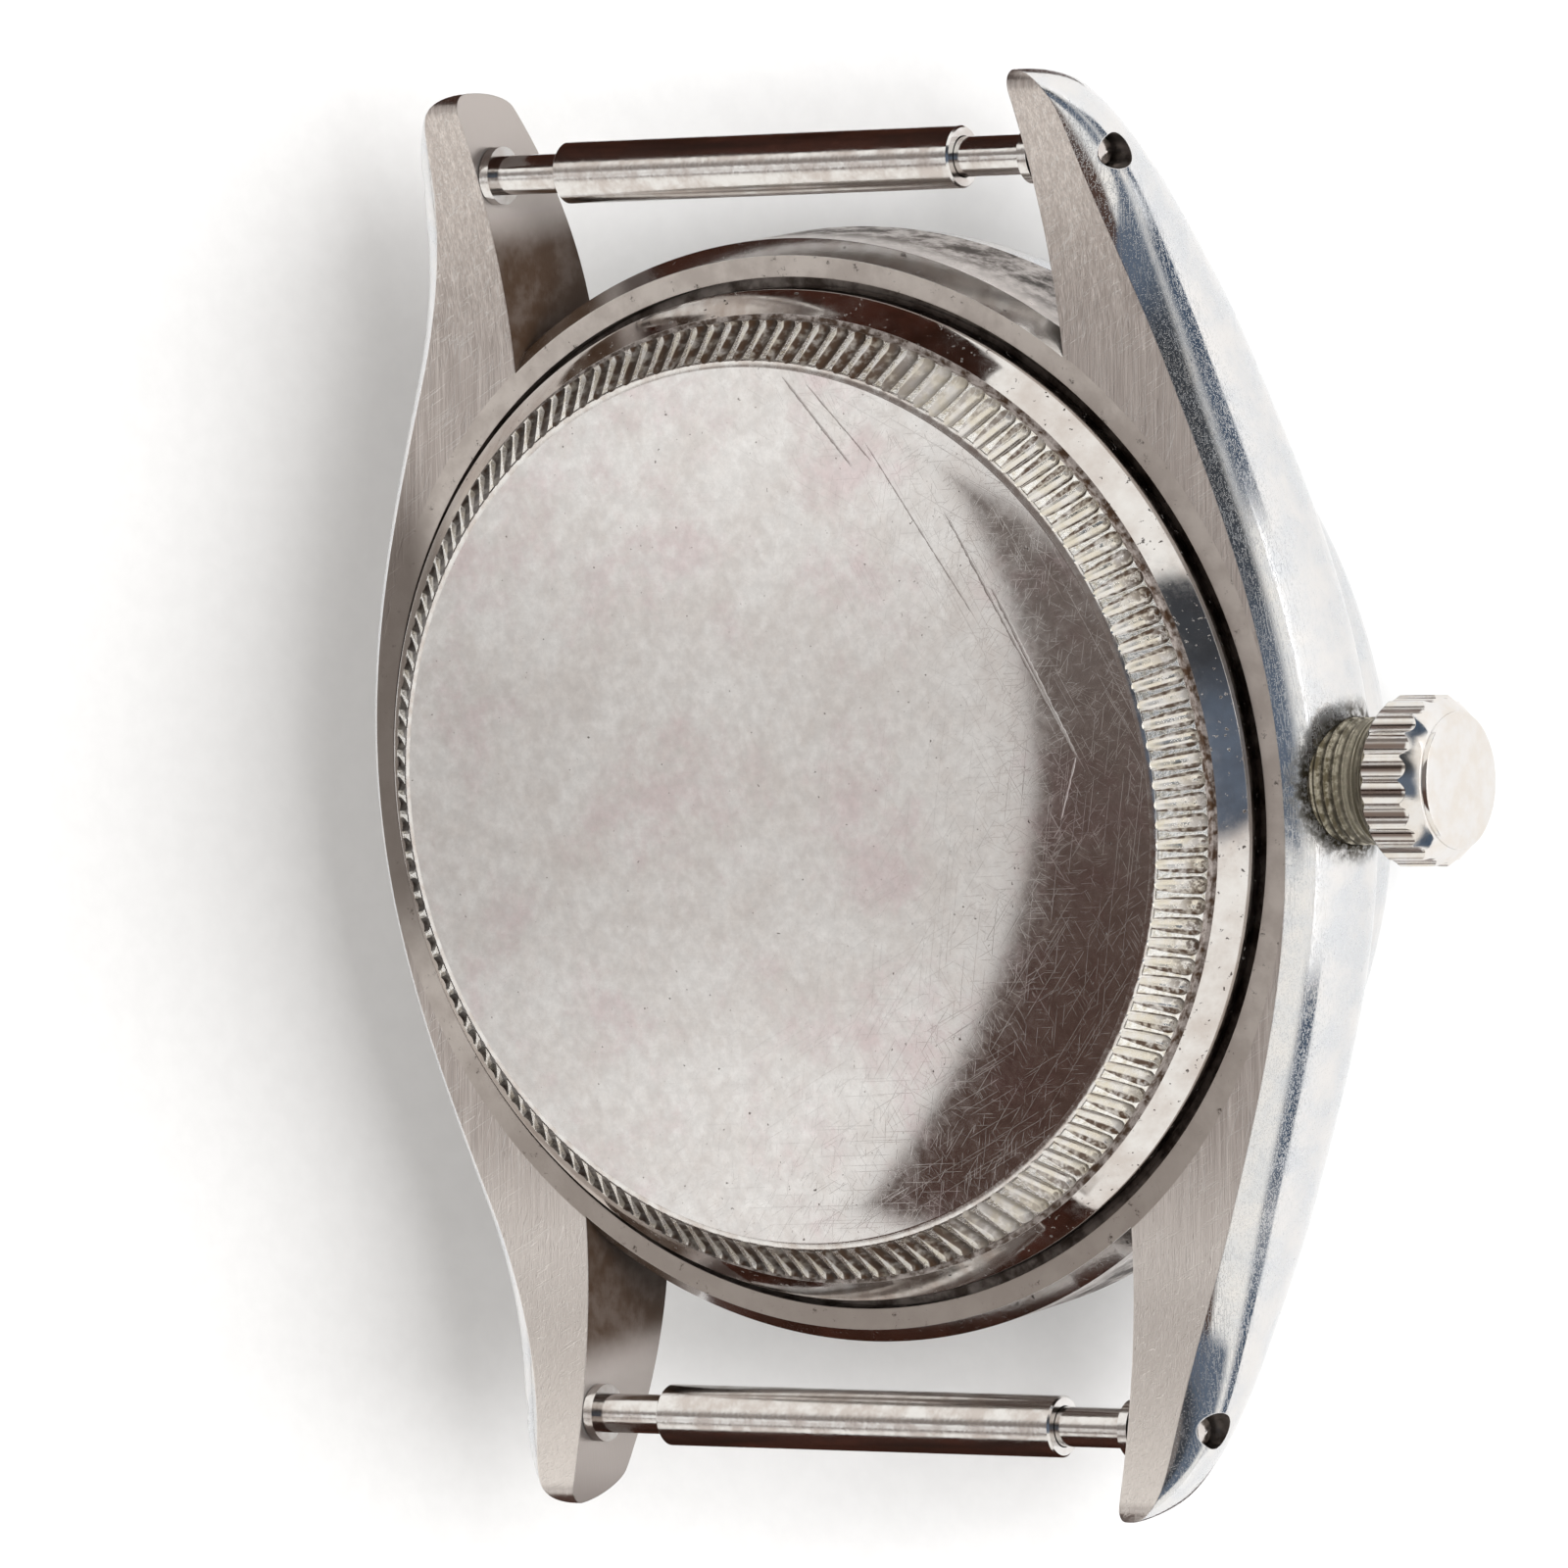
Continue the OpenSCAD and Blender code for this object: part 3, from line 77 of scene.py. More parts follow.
class CaseSizes(bpy.types.PropertyGroup):
    underside: length("Underside", "Height of the flat underside above the crystal's flat top", 8.4)
    seat: length("Bezel seat", "Height of the seat that the bezel stands on", 4.1)
    width: length("Width", "Width across the polished flanks", 33.54)
    width_end: length("End width", "Width across the flanks near the lug ends", 24.26)
    span: length("Lug span", "Distance from lug end to lug end", 41.74)
    face: length("Face width", "Width across the brushed faces at the middle", 31.36)
    face_end: length("Face end width", "Width across the brushed faces at the lug ends", 21.9)
    gap: length("Strap gap", "Clear width between two lugs", 19)
    wall: length("Wall radius", "Radius of the turned wall between the lugs", 16.17)
    bevel: length("Wall bevel", "Bevel along the back edge of the turned wall", 0.45)
    hole: length("Bar hole", "Radius of the drilled strap bar holes", 0.52)
    bar_y: length("Bar place", "Distance of the strap bars from the case axis", 18.37)
    bar_z: length("Bar height", "Height of the strap bars", 8.63)
    stem_z: length("Stem height", "Height of the winding stem", 6.0)
    edge_wear: length("Edge wear", "Radius that wear has given the edges", 0.05)


class BackSizes(bpy.types.PropertyGroup):
    disc: length("Disc radius", "Radius of the disc inside the fluting", 12.98)
    rolled: length("Rolled edge", "Width of the disc's worn and rolled edge", 0.26)
    dome: length("Dome", "Rise of the disc's dome", 0.36)
    rim: length("Rim height", "Height of the disc's rim", 10.9)
    band: length("Band radius", "Radius of the fluted band at its foot", 14.0)
    foot: length("Band foot", "Height of the fluted band's foot", 9.8)
    flutes: bpy.props.IntProperty(
        name="Flutes", description="Number of milled flutes", default=144, min=24, max=200,
    )
    cutter: length("Cutter radius", "Radius of the round cutter that milled the flutes", 0.28)
    depth: length("Flute depth", "Depth of a flute at the foot of the band", 0.22)
    lip: length("Lip radius", "Radius of the lip under the band", 14.15)
    flange: length("Flange radius", "Outer radius of the polished flange", 14.8)


class CrownSizes(bpy.types.PropertyGroup):
    start: length("Crown place", "Distance of the crown's inner face from the case axis", 18.14)
    radius: length("Crown radius", "Radius over the crown's flutes", 2.45)
    band: length("Fluted length", "Length of the fluted band", 1.46)
    shoulder: length("Shoulder", "Length of the polished shoulder", 0.38)
    cap: length("Cap radius", "Radius of the plain raised cap", 1.95)
    cap_height: length("Cap height", "Height of the raised cap", 0.24)
    flutes: bpy.props.IntProperty(
        name="Crown flutes", description="Flutes round the crown", default=22, min=12, max=40,
    )
    flute_radius: length("Flute radius", "Radius of the cutter of the crown's flutes", 0.45)
    flute_depth: length("Flute depth", "Depth of the crown's flutes", 0.14)


class Finishes(bpy.types.PropertyGroup):
    steel: colour("Steel", "Clean stainless steel", "#dcdad8")
    warm_steel: colour("Warm steel", "Stainless steel handled for years", "#c6beb9")
    rosy_steel: colour("Rosy haze", "Faint red haze in the disc's wear", "#c9b4b6")
    cream: colour("Cream steel", "Old skin oil on the milled flutes", "#d3ccbd")
    # Grime is also the colour of painted shade: in the flutes, the lip's corner, the turned wall, the lug
    # walls, the bore and the crown's face towards the case.
    grime: colour("Grime", "Dried dirt in the corners", "#2f2116")
    olive: colour("Olive grime", "Green brown dirt on the crown tube", "#3b3527")
    brass: colour("Gilt brass", "Gilt brass of the plates", "#d8b36a")
    blue: colour("Blued steel", "Steel blued by heat", "#27406f")
    ruby: colour("Ruby", "Synthetic ruby of the bearings", "#a3163a")
    dial: colour("Dial", "Silvered dial lacquer", "#e3dfd3")


class StageSettings(bpy.types.PropertyGroup):
    floor: colour("Floor", "Pale floor under the watch", "#d6d6d6")
    key: bpy.props.FloatProperty(
        name="Key lamp", description="Power of the soft key lamp", default=21, unit="POWER",
    )
    room: bpy.props.FloatProperty(
        name="Room light", description="Strength of the studio's walls", default=1.0, min=0,
    )


# Node trees


def add(tree, kind, *values, named=None, **settings):
    """Adds a node with its settings. Values or links go to its live inputs in order, or by name."""
    node = tree.nodes.new("ShaderNode" + kind)
    for key, value in settings.items():
        setattr(node, key, value)
    live = [s for s in node.inputs if s.enabled]
    given = list(zip(live, values))
    for key, value in (named or {}).items():
        given.append((next(s for s in live if s.name == key), value))
    for socket, value in given:
        # A node stands for its first output.
        if isinstance(value, bpy.types.Node):
            value = next(s for s in value.outputs if s.enabled)
        if isinstance(value, bpy.types.NodeSocket):
            tree.links.new(value, socket)
        else:
            socket.default_value = value
    return node


def new_tree(name):
    """A new material with an empty node tree."""
    material = bpy.data.materials.new(name)
    material.use_nodes = True
    material.node_tree.nodes.clear()
    return material, material.node_tree


def finished(tree, base, rough, height=None, depth_mm=0.01, metallic=1.0, wear_mm=0.0, **more):
    """Joins colour, roughness and relief in one surface; wear_mm rounds the edges in the shading."""
    inputs = {"Base Color": base, "Roughness": rough, "Metallic": metallic, **more}
    normal = None
    if wear_mm:
        normal = add(tree, "Bevel", named={"Radius": wear_mm * MM}, samples=4)
    if height is not None:
        bump = {"Height": height, "Distance": depth_mm * MM, "Strength": 1.0}
        if normal is not None:
            bump["Normal"] = normal
        normal = add(tree, "Bump", named=bump)
    if normal is not None:
        inputs["Normal"] = normal
    shader = add(tree, "BsdfPrincipled", named=inputs)
    add(tree, "OutputMaterial", named={"Surface": shader})


def streaks(tree, across_mm, along_mm, angle=0.0, detail=3.0):
    """Noise drawn out along one direction of the face, as by a brush or a file."""
    turned = add(
        tree, "Mapping",
        named={"Vector": add(tree, "TexCoord").outputs["Object"], "Rotation": (0, 0, math.radians(angle))},
    )
    drawn = add(tree, "Mapping", named={"Vector": turned, "Scale": (1, across_mm / along_mm, 1)})
    return add(tree, "TexNoise", named={"Vector": drawn, "Scale": 1 / (across_mm * MM), "Detail": detail})


def blotches(tree, size_mm, detail=4.0, rough=0.6, shift=0.0):
    """Cloudy noise in patches of about one size; a shift gives another pattern of the same kind."""
    moved = add(
        tree, "Mapping",
        named={"Vector": add(tree, "TexCoord").outputs["Object"], "Location": (shift * MM, shift * MM, 0)},
    )
    return add(
        tree, "TexNoise",
        named={"Vector": moved, "Scale": 1 / (size_mm * MM), "Detail": detail, "Roughness": rough},
    )


def radius_from(tree, axis):
    """Distance of the point from the case axis (Z) or the stem axis (X), in millimetres."""
    parts = add(tree, "SeparateXYZ", add(tree, "TexCoord").outputs["Object"])
    if axis == "Z":
        flat = add(tree, "CombineXYZ", named={"X": parts.outputs["X"], "Y": parts.outputs["Y"]})
    else:
        stem_z = bpy.context.scene.watch_case.stem_z
        lowered = add(tree, "Math", parts.outputs["Z"], stem_z, operation="SUBTRACT")
        flat = add(tree, "CombineXYZ", named={"Y": parts.outputs["Y"], "Z": lowered})
    size = add(tree, "VectorMath", flat, operation="LENGTH").outputs["Value"]
    return add(tree, "Math", size, 1 / MM, operation="MULTIPLY")


def height_of(tree, axis="Z"):
    """The point's place along one axis, in millimetres."""
    parts = add(tree, "SeparateXYZ", add(tree, "TexCoord").outputs["Object"])
    return add(tree, "Math", parts.outputs[axis], 1 / MM, operation="MULTIPLY")


def turn_about(tree, axis):
    """The point's angle round the case axis (Z) or the stem axis (X), in radians."""
    parts = add(tree, "SeparateXYZ", add(tree, "TexCoord").outputs["Object"])
    if axis == "Z":
        return add(tree, "Math", parts.outputs["Y"], parts.outputs["X"], operation="ARCTAN2")
    stem_z = bpy.context.scene.watch_case.stem_z
    lowered = add(tree, "Math", parts.outputs["Z"], stem_z, operation="SUBTRACT")
    return add(tree, "Math", parts.outputs["Y"], lowered, operation="ARCTAN2")


def beside_lines(tree, turn, count):
    """0 on each of a number of lines spaced evenly round an axis, and 1 halfway between them."""
    wave = add(tree, "Math", add(tree, "Math", turn, count / 2, operation="MULTIPLY"), operation="SINE")
    return add(tree, "Math", wave, operation="ABSOLUTE")


def scratch(tree, start, end, width_mm):
    """A single long scratch between two points of the face, in millimetres: 1 on the line and 0 off it."""
    (x0, y0), (x1, y1) = start, end
    length_mm = math.hypot(x1 - x0, y1 - y0)
    along = ((x1 - x0) / length_mm, (y1 - y0) / length_mm, 0)
    across = (-along[1], along[0], 0)
    middle = ((x0 + x1) / 2 * MM, (y0 + y1) / 2 * MM, 0)
    from_middle = add(
        tree, "VectorMath", add(tree, "TexCoord").outputs["Object"], middle, operation="SUBTRACT",
    )
    off = add(tree, "VectorMath", from_middle, across, operation="DOT_PRODUCT").outputs["Value"]
    run = add(tree, "VectorMath", from_middle, along, operation="DOT_PRODUCT").outputs["Value"]
    ragged = add(tree, "MapRange", blotches(tree, 0.25), 0.3, 0.7, 0.5, 1.3, **SMOOTH)
    reach = add(tree, "Math", ragged, width_mm * MM, operation="MULTIPLY")
    near = add(tree, "Math", add(tree, "Math", off, operation="ABSOLUTE"), reach, operation="DIVIDE")
    line = add(tree, "MapRange", near, 0.3, 1.0, 1.0, 0.0, **SMOOTH)
    run = add(tree, "Math", run, operation="ABSOLUTE")
    ends = add(tree, "MapRange", run, length_mm * MM * 0.35, length_mm * MM * 0.52, 1.0, 0.0, **SMOOTH)
    return add(tree, "Math", line, ends, operation="MULTIPLY")


def hairlines(tree, across_mm, along_mm, angles, least):
    """Fine scratches in several directions: the highest crests of drawn-out noise."""
    total = None
    for angle in angles:
        drawn = streaks(tree, across_mm, along_mm, angle, 0.0)
        crest = add(tree, "MapRange", drawn, least, least + 0.06, 0.0, 1.0, **SMOOTH)
        total = crest if total is None else add(tree, "Math", total, crest, operation="MAXIMUM")
    return total


# Finishes


def satin_disc():
    """Stainless steel, polished and then worn by skin and cloth for years: a cloudy mirror with scratches."""
    look = bpy.context.scene.watch_finishes
    material, tree = new_tree("stainless_steel_polished_and_worn_disc")
    rubbed = add(tree, "Mix", 0.5, streaks(tree, 0.3, 1.3, 40, 6.0), streaks(tree, 0.26, 1.0, -25, 6.0))
    cloud = add(tree, "Mix", 0.35, blotches(tree, 2.2, 8.0, 0.72), rubbed)
    fine = blotches(tree, 0.4, 6.0, 0.7, 3.0)
    bright = add(tree, "MapRange", cloud, 0.36, 0.62, 0.35, 1.0, **SMOOTH)
    base = add(tree, "Mix", bright, look.warm_steel, look.steel, **COLOURS)
    rosy = add(tree, "MapRange", blotches(tree, 3.6, 7.0, 0.72, 9.0), 0.48, 0.68, 0.0, 0.55, **SMOOTH)
    base = add(tree, "Mix", rosy, base, look.rosy_steel, **COLOURS)
    dull = add(tree, "MapRange", fine, 0.3, 0.75, 0.35, 0.0, **SMOOTH)
    base = add(tree, "Mix", dull, base, linear("#a39f9d"), **COLOURS)
    lines = hairlines(tree, 0.03, 6.0, (12, 63, 118, 152, 38, 88), 0.745)
    marks = None
    for start, end, width in (
        ((1.45, 12.6), (3.86, 9.73), 0.05),
        ((2.3, 12.3), (4.5, 9.9), 0.03),
        ((6.75, 8.55), (10.68, 1.23), 0.055),
        ((8.19, 6.29), (10.54, 1.51), 0.06),
        ((9.9, -0.35), (10.55, 1.45), 0.045),
        ((4.2, 10.6), (7.6, 5.4), 0.028),
    ):
        mark = scratch(tree, start, end, width)
        marks = mark if marks is None else add(tree, "Math", marks, mark, operation="MAXIMUM")
    pits = add(tree, "MapRange", blotches(tree, 0.16, 2.0, 0.5, 5.0), 0.73, 0.79, 0.0, 1.0, **SMOOTH)
    wear = add(tree, "Math", add(tree, "Math", lines, 0.13, operation="MULTIPLY"), marks, operation="MAXIMUM")
    uneven = add(
        tree, "Math", add(tree, "Math", fine, 0.6, operation="MULTIPLY"),
        add(tree, "Math", cloud, 0.4, operation="MULTIPLY"), operation="ADD",
    )
    rough = add(tree, "MapRange", uneven, 0.34, 0.66, 0.03, 0.06, **SMOOTH)
    rough = add(tree, "Math", rough, add(tree, "Math", wear, 0.22, operation="MULTIPLY"), operation="ADD")
    base = add(tree, "Mix", add(tree, "Math", pits, 0.7, operation="MULTIPLY"), base, look.grime, **COLOURS)
    relief = add(
        tree, "Math", add(tree, "Math", fine, 0.1, operation="MULTIPLY"),
        add(tree, "Math", wear, pits, operation="ADD"), operation="SUBTRACT",
    )
    finished(tree, base, rough, relief, 0.001)
    return material


def rolled_edge():
    """Stainless steel, the disc's edge rolled over by wear: pale and soft."""
    look = bpy.context.scene.watch_finishes
    material, tree = new_tree("stainless_steel_rolled_edge")
    warm = add(tree, "MapRange", blotches(tree, 0.5, 6.0), 0.35, 0.65, 0, 1, **SMOOTH)
    base = add(tree, "Mix", warm, look.steel, look.warm_steel, **COLOURS)
    rough = add(tree, "MapRange", blotches(tree, 0.2), 0.3, 0.7, 0.16, 0.3, **SMOOTH)
    finished(tree, base, rough, blotches(tree, 0.12), 0.002)
    return material


def milled_flute():
    """Stainless steel milled with a round cutter, with old cream oil inside, brown dirt at the foot, and
    painted shade along the flutes' sides and in the flutes away from the crown.
    """
    look = bpy.context.scene.watch_finishes
    sizes = bpy.context.scene.watch_back
    material, tree = new_tree("stainless_steel_milled_flute")
    clean = add(tree, "MapRange", blotches(tree, 0.5, 5.0), 0.35, 0.65, 0, 0.8, **SMOOTH)
    base = add(tree, "Mix", clean, look.cream, look.steel, **COLOURS)
    foot = sizes.foot / MM
    low = add(tree, "MapRange", height_of(tree), foot - 0.1, foot + 0.95, 1.0, 0.0, **SMOOTH)
    clots = add(tree, "MapRange", blotches(tree, 0.3, 6.0, 0.7), 0.38, 0.56, 0.1, 1.0, **SMOOTH)
    dirt_and_shade = add(tree, "Math", low, clots, operation="MULTIPLY")
    patch = add(tree, "MapRange", blotches(tree, 5.0, 2.0, 0.5, 4.0), 0.4, 0.6, 0.35, 1.0, **SMOOTH)
    dirt_and_shade = add(tree, "Math", dirt_and_shade, patch, operation="MULTIPLY")
    # Painted shade: the sides of each flute next to the ridges are darkened with the grime colour.
    beside = beside_lines(tree, turn_about(tree, "Z"), sizes.flutes)
    corner = add(tree, "MapRange", beside, 0.5, 0.75, 0, 1, **SMOOTH)
    broken = add(tree, "MapRange", blotches(tree, 0.2, 3.0), 0.3, 0.6, 0.6, 1.0, **SMOOTH)
    sides = add(tree, "Math", corner, broken, operation="MULTIPLY")
    dirt_and_shade = add(tree, "Math", dirt_and_shade, sides, operation="MAXIMUM")
    # Painted shade: on the side away from the crown the flutes are filled with the grime colour, standing in
    # for the shadowed floor that they mirror.
    left = add(tree, "MapRange", height_of(tree, "X"), 4.0, 9.5, 1, 0, **SMOOTH)
    inside = add(tree, "MapRange", beside, 0.82, 0.96, 1, 0, **SMOOTH)
    clods = add(tree, "MapRange", blotches(tree, 0.35, 4.0), 0.3, 0.55, 0.75, 1.0, **SMOOTH)
    filled = add(tree, "Math", left, inside, operation="MULTIPLY")
    filled = add(tree, "Math", filled, clods, operation="MULTIPLY")
    right = add(tree, "MapRange", height_of(tree, "X"), 4.0, 9.5, 0.4, 1, **SMOOTH)
    dirt_and_shade = add(tree, "Math", dirt_and_shade, right, operation="MULTIPLY")
    dirt_and_shade = add(tree, "Math", dirt_and_shade, filled, operation="MAXIMUM")
    base = add(tree, "Mix", dirt_and_shade, base, look.grime, **COLOURS)
    rough = add(tree, "MapRange", dirt_and_shade, 0.0, 0.7, 0.12, 0.45, **SMOOTH)
    bare = add(tree, "Math", 1.0, dirt_and_shade, operation="SUBTRACT")
    finished(tree, base, rough, blotches(tree, 0.1, 3.0), 0.0015, bare, 0.02)
    return material


def flute_ridge():
    """Stainless steel, the narrow lands between the flutes: bumped, and painted near white as a highlight."""
    look = bpy.context.scene.watch_finishes
    material, tree = new_tree("stainless_steel_worn_ridge")
    oily = add(tree, "MapRange", blotches(tree, 0.2), 0.4, 0.7, 0, 1, **SMOOTH)
    # Painted highlight: the near-white colour makes the lands shine.
    base = add(tree, "Mix", oily, linear("#f0efec"), look.cream, **COLOURS)
    finished(tree, base, 0.2, blotches(tree, 0.09, 4.0, 0.7), 0.02, 1.0, 0.03)
    return material


def dirty_and_shaded_lip():
    """Stainless steel in the corner under the flutes, brown and dull: dried dirt and painted shade."""
    look = bpy.context.scene.watch_finishes
    material, tree = new_tree("stainless_steel_dirty_and_shaded_corner")
    # Painted shade: the corner is darkened with the grime colour, broken by noise.
    share = add(tree, "MapRange", blotches(tree, 0.35, 6.0, 0.7), 0.34, 0.6, 0.45, 1.0, **SMOOTH)
    base = add(tree, "Mix", share, look.warm_steel, look.grime, **COLOURS)
    finished(tree, base, 0.5, blotches(tree, 0.08), 0.01, add(tree, "Math", 1.0, share, operation="SUBTRACT"))
    return material


def polished_flange():
    """Stainless steel, lapped to a mirror, with a few corrosion pits."""
    look = bpy.context.scene.watch_finishes
    material, tree = new_tree("stainless_steel_lapped_flange")
    pits = add(tree, "MapRange", blotches(tree, 0.2, 3.0, 0.6), 0.66, 0.71, 0.0, 1.0, **SMOOTH)
    warm = add(tree, "MapRange", blotches(tree, 1.5), 0.3, 0.7, 0, 1, **SMOOTH)
    base = add(tree, "Mix", warm, look.steel, look.warm_steel, **COLOURS)
    base = add(tree, "Mix", add(tree, "Math", pits, 0.8, operation="MULTIPLY"), base, look.grime, **COLOURS)
    rough = add(tree, "MapRange", blotches(tree, 0.7, 6.0, 0.7), 0.35, 0.7, 0.05, 0.15, **SMOOTH)
    rough = add(tree, "Math", rough, add(tree, "Math", pits, 0.4, operation="MULTIPLY"), operation="ADD")
    finished(tree, base, rough, add(tree, "Math", pits, -1.0, operation="MULTIPLY"), 0.01, 1.0, 0.03)
    return material


def polished_flank():
    """Stainless steel, mirror polished and then rubbed along the lugs: bright bands under fine hairlines."""
    look = bpy.context.scene.watch_finishes
    material, tree = new_tree("stainless_steel_mirror_polished")
    haze = blotches(tree, 1.3, 6.0, 0.65)
    lines = hairlines(tree, 0.03, 1.5, (4, -9, 70), 0.66)
    rough = add(
        tree, "Math", add(tree, "MapRange", haze, 0.35, 0.7, 0.05, 0.16, **SMOOTH),
        add(tree, "Math", lines, 0.16, operation="MULTIPLY"), operation="ADD",
    )
    cool = add(tree, "MapRange", haze, 0.3, 0.7, 0, 0.7, **SMOOTH)
    base = add(tree, "Mix", cool, look.steel, linear("#c9cdd2"), **COLOURS)
    # Dirt lies round the crown tube.
    near = add(tree, "MapRange", radius_from(tree, "X"), 1.9, 2.6, 1.0, 0.0, **SMOOTH)
    outside = add(tree, "MapRange", height_of(tree, "X"), 14.0, 15.0, 0, 1, **SMOOTH)
    near = add(tree, "Math", near, outside, operation="MULTIPLY")
    clots = add(tree, "MapRange", blotches(tree, 0.3, 6.0, 0.7), 0.36, 0.6, 0.2, 1.0, **SMOOTH)
    dirt = add(tree, "Math", near, clots, operation="MULTIPLY")
    base = add(tree, "Mix", dirt, base, look.olive, **COLOURS)
    rough = add(tree, "Math", rough, add(tree, "Math", dirt, 0.4, operation="MULTIPLY"), operation="ADD")
    relief = add(tree, "Math", blotches(tree, 0.35, 4.0), lines, operation="SUBTRACT")
    finished(tree, base, rough, relief, 0.0012, 1.0, bpy.context.scene.watch_case.edge_wear / MM)
    return material


def brushed_underside():
    """Stainless steel ground along the lugs, with a matte ring turned round the opening."""
    look = bpy.context.scene.watch_finishes
    sizes = bpy.context.scene.watch_case
    material, tree = new_tree("stainless_steel_ground_along_the_lugs")
    ring_edge = (sizes.wall - sizes.bevel) / MM + 0.05
    radius = radius_from(tree, "Z")
    outside = add(tree, "MapRange", radius, ring_edge - 0.02, ring_edge + 0.02, 0.0, 1.0, **SMOOTH)
    # The real grain is about 0.02 mm; it is drawn at 0.035 mm so that it shows.
    grain = streaks(tree, 0.035, 1.7, 4.0, 4.0)
    broad = streaks(tree, 0.16, 5.0, 6.0, 3.0)
    strokes = hairlines(tree, 0.04, 2.2, (6, 24, 62), 0.68)
    coarse = streaks(tree, 0.075, 2.6, 5.0, 3.0)
    dark = linear("#a69d98")
    bands = add(tree, "MapRange", broad, 0.35, 0.65, 0, 1, **SMOOTH)
    fine = add(tree, "MapRange", grain, 0.35, 0.65, 0.0, 0.55, **SMOOTH)
    bright = add(tree, "Math", strokes, 0.5, operation="MULTIPLY")
    deep = add(tree, "MapRange", coarse, 0.4, 0.66, 0.0, 0.4, **SMOOTH)
    ground = linear("#dcd4cf")
    for share, tone in ((bands, linear("#c9c0bb")), (fine, dark), (bright, look.steel), (deep, dark)):
        ground = add(tree, "Mix", share, ground, tone, **COLOURS)
    spots = add(tree, "MapRange", blotches(tree, 0.32, 6.0, 0.72), 0.6, 0.7, 0.0, 0.8, **SMOOTH)
    patches = add(tree, "MapRange", blotches(tree, 1.1), 0.35, 0.65, 0, 1, **SMOOTH)
    matte = add(tree, "Mix", patches, linear("#c9c1bb"), linear("#ddd6d0"), **COLOURS)
    # Painted shade: the matte ring is darker towards the lower lugs (-Y).
    lower = add(tree, "MapRange", height_of(tree, "Y"), -4.0, -13.0, 0.0, 0.7, **SMOOTH)
    matte = add(tree, "Mix", lower, matte, linear("#9a9089"), **COLOURS)
    matte = add(tree, "Mix", spots, matte, look.grime, **COLOURS)
    # Painted highlight: the ground faces are lighter towards the lower lug ends (-Y).
    lugs = add(tree, "MapRange", height_of(tree, "Y"), -9.0, -14.0, 0.0, 0.7, **SMOOTH)
    ground = add(tree, "Mix", lugs, ground, linear("#f2ece7"), **COLOURS)
    base = add(tree, "Mix", outside, matte, ground, **COLOURS)
    # Painted shade: the face on the side away from the crown is darkened, most at its middle.
    rim = add(tree, "MapRange", height_of(tree, "X"), -14.0, -12.4, 1, 0, **SMOOTH)
    off = add(tree, "Math", height_of(tree, "Y"), 2.5, operation="SUBTRACT")
    middle = add(
        tree, "MapRange", add(tree, "Math", off, operation="ABSOLUTE"), 4.5, 9.0, 0.85, 0, **SMOOTH,
    )
    handled = add(tree, "Math", rim, middle, operation="MULTIPLY")
    base = add(tree, "Mix", handled, base, linear("#6f6660"), **COLOURS)
    rough = add(tree, "Mix", outside, (0.42, 0.42, 0.42, 1), (0.33, 0.33, 0.33, 1), **COLOURS)
    relief = add(
        tree, "Mix", outside, blotches(tree, 0.1, 4.0),
        add(tree, "Math", grain, strokes, operation="SUBTRACT"), **COLOURS,
    )
    finished(tree, base, rough, relief, 0.004, 1.0, sizes.edge_wear / MM)
    return material


def turned_wall():
    """Stainless steel as the lathe left it, dull, brown and darker towards its foot: dirt and painted shade.
    """
    look = bpy.context.scene.watch_finishes
    sizes = bpy.context.scene.watch_case
    material, tree = new_tree("stainless_steel_turned_wall")
    place = add(tree, "TexCoord").outputs["Object"]
    flat = add(tree, "Mapping", named={"Vector": place, "Scale": (0.02, 0.02, 1)})
    rings = add(tree, "TexNoise", named={"Vector": flat, "Scale": 1 / (0.05 * MM)})
    top = sizes.underside / MM
    # Painted shade: the wall darkens towards its foot, deep between the lugs, with dirt clots through it.
    low = add(tree, "MapRange", height_of(tree), top - 2.6, top - 0.5, 1.0, 0.25, **SMOOTH)
    clots = add(tree, "MapRange", blotches(tree, 0.9, 7.0, 0.7), 0.35, 0.6, 0.25, 1.0, **SMOOTH)
    dirt = add(tree, "Math", low, clots, operation="MULTIPLY")
    base = add(tree, "Mix", dirt, look.warm_steel, look.grime, **COLOURS)
    rough = add(tree, "MapRange", dirt, 0, 1, 0.26, 0.6, **SMOOTH)
    finished(tree, base, rough, rings, 0.004, add(tree, "Math", 1.0, dirt, operation="SUBTRACT"))
    return material


def wall_edge():
    """Stainless steel, the polished bevel between wall and underside."""
    look = bpy.context.scene.watch_finishes
    material, tree = new_tree("stainless_steel_polished_bevel")
    spots = add(tree, "MapRange", blotches(tree, 0.25, 5.0, 0.7), 0.6, 0.68, 0.0, 0.8, **SMOOTH)
    base = add(tree, "Mix", spots, look.steel, look.grime, **COLOURS)
    rough = add(tree, "MapRange", spots, 0, 1, 0.14, 0.5, **SMOOTH)
    finished(tree, base, rough, blotches(tree, 0.3), 0.003, 1.0, 0.04)
    return material


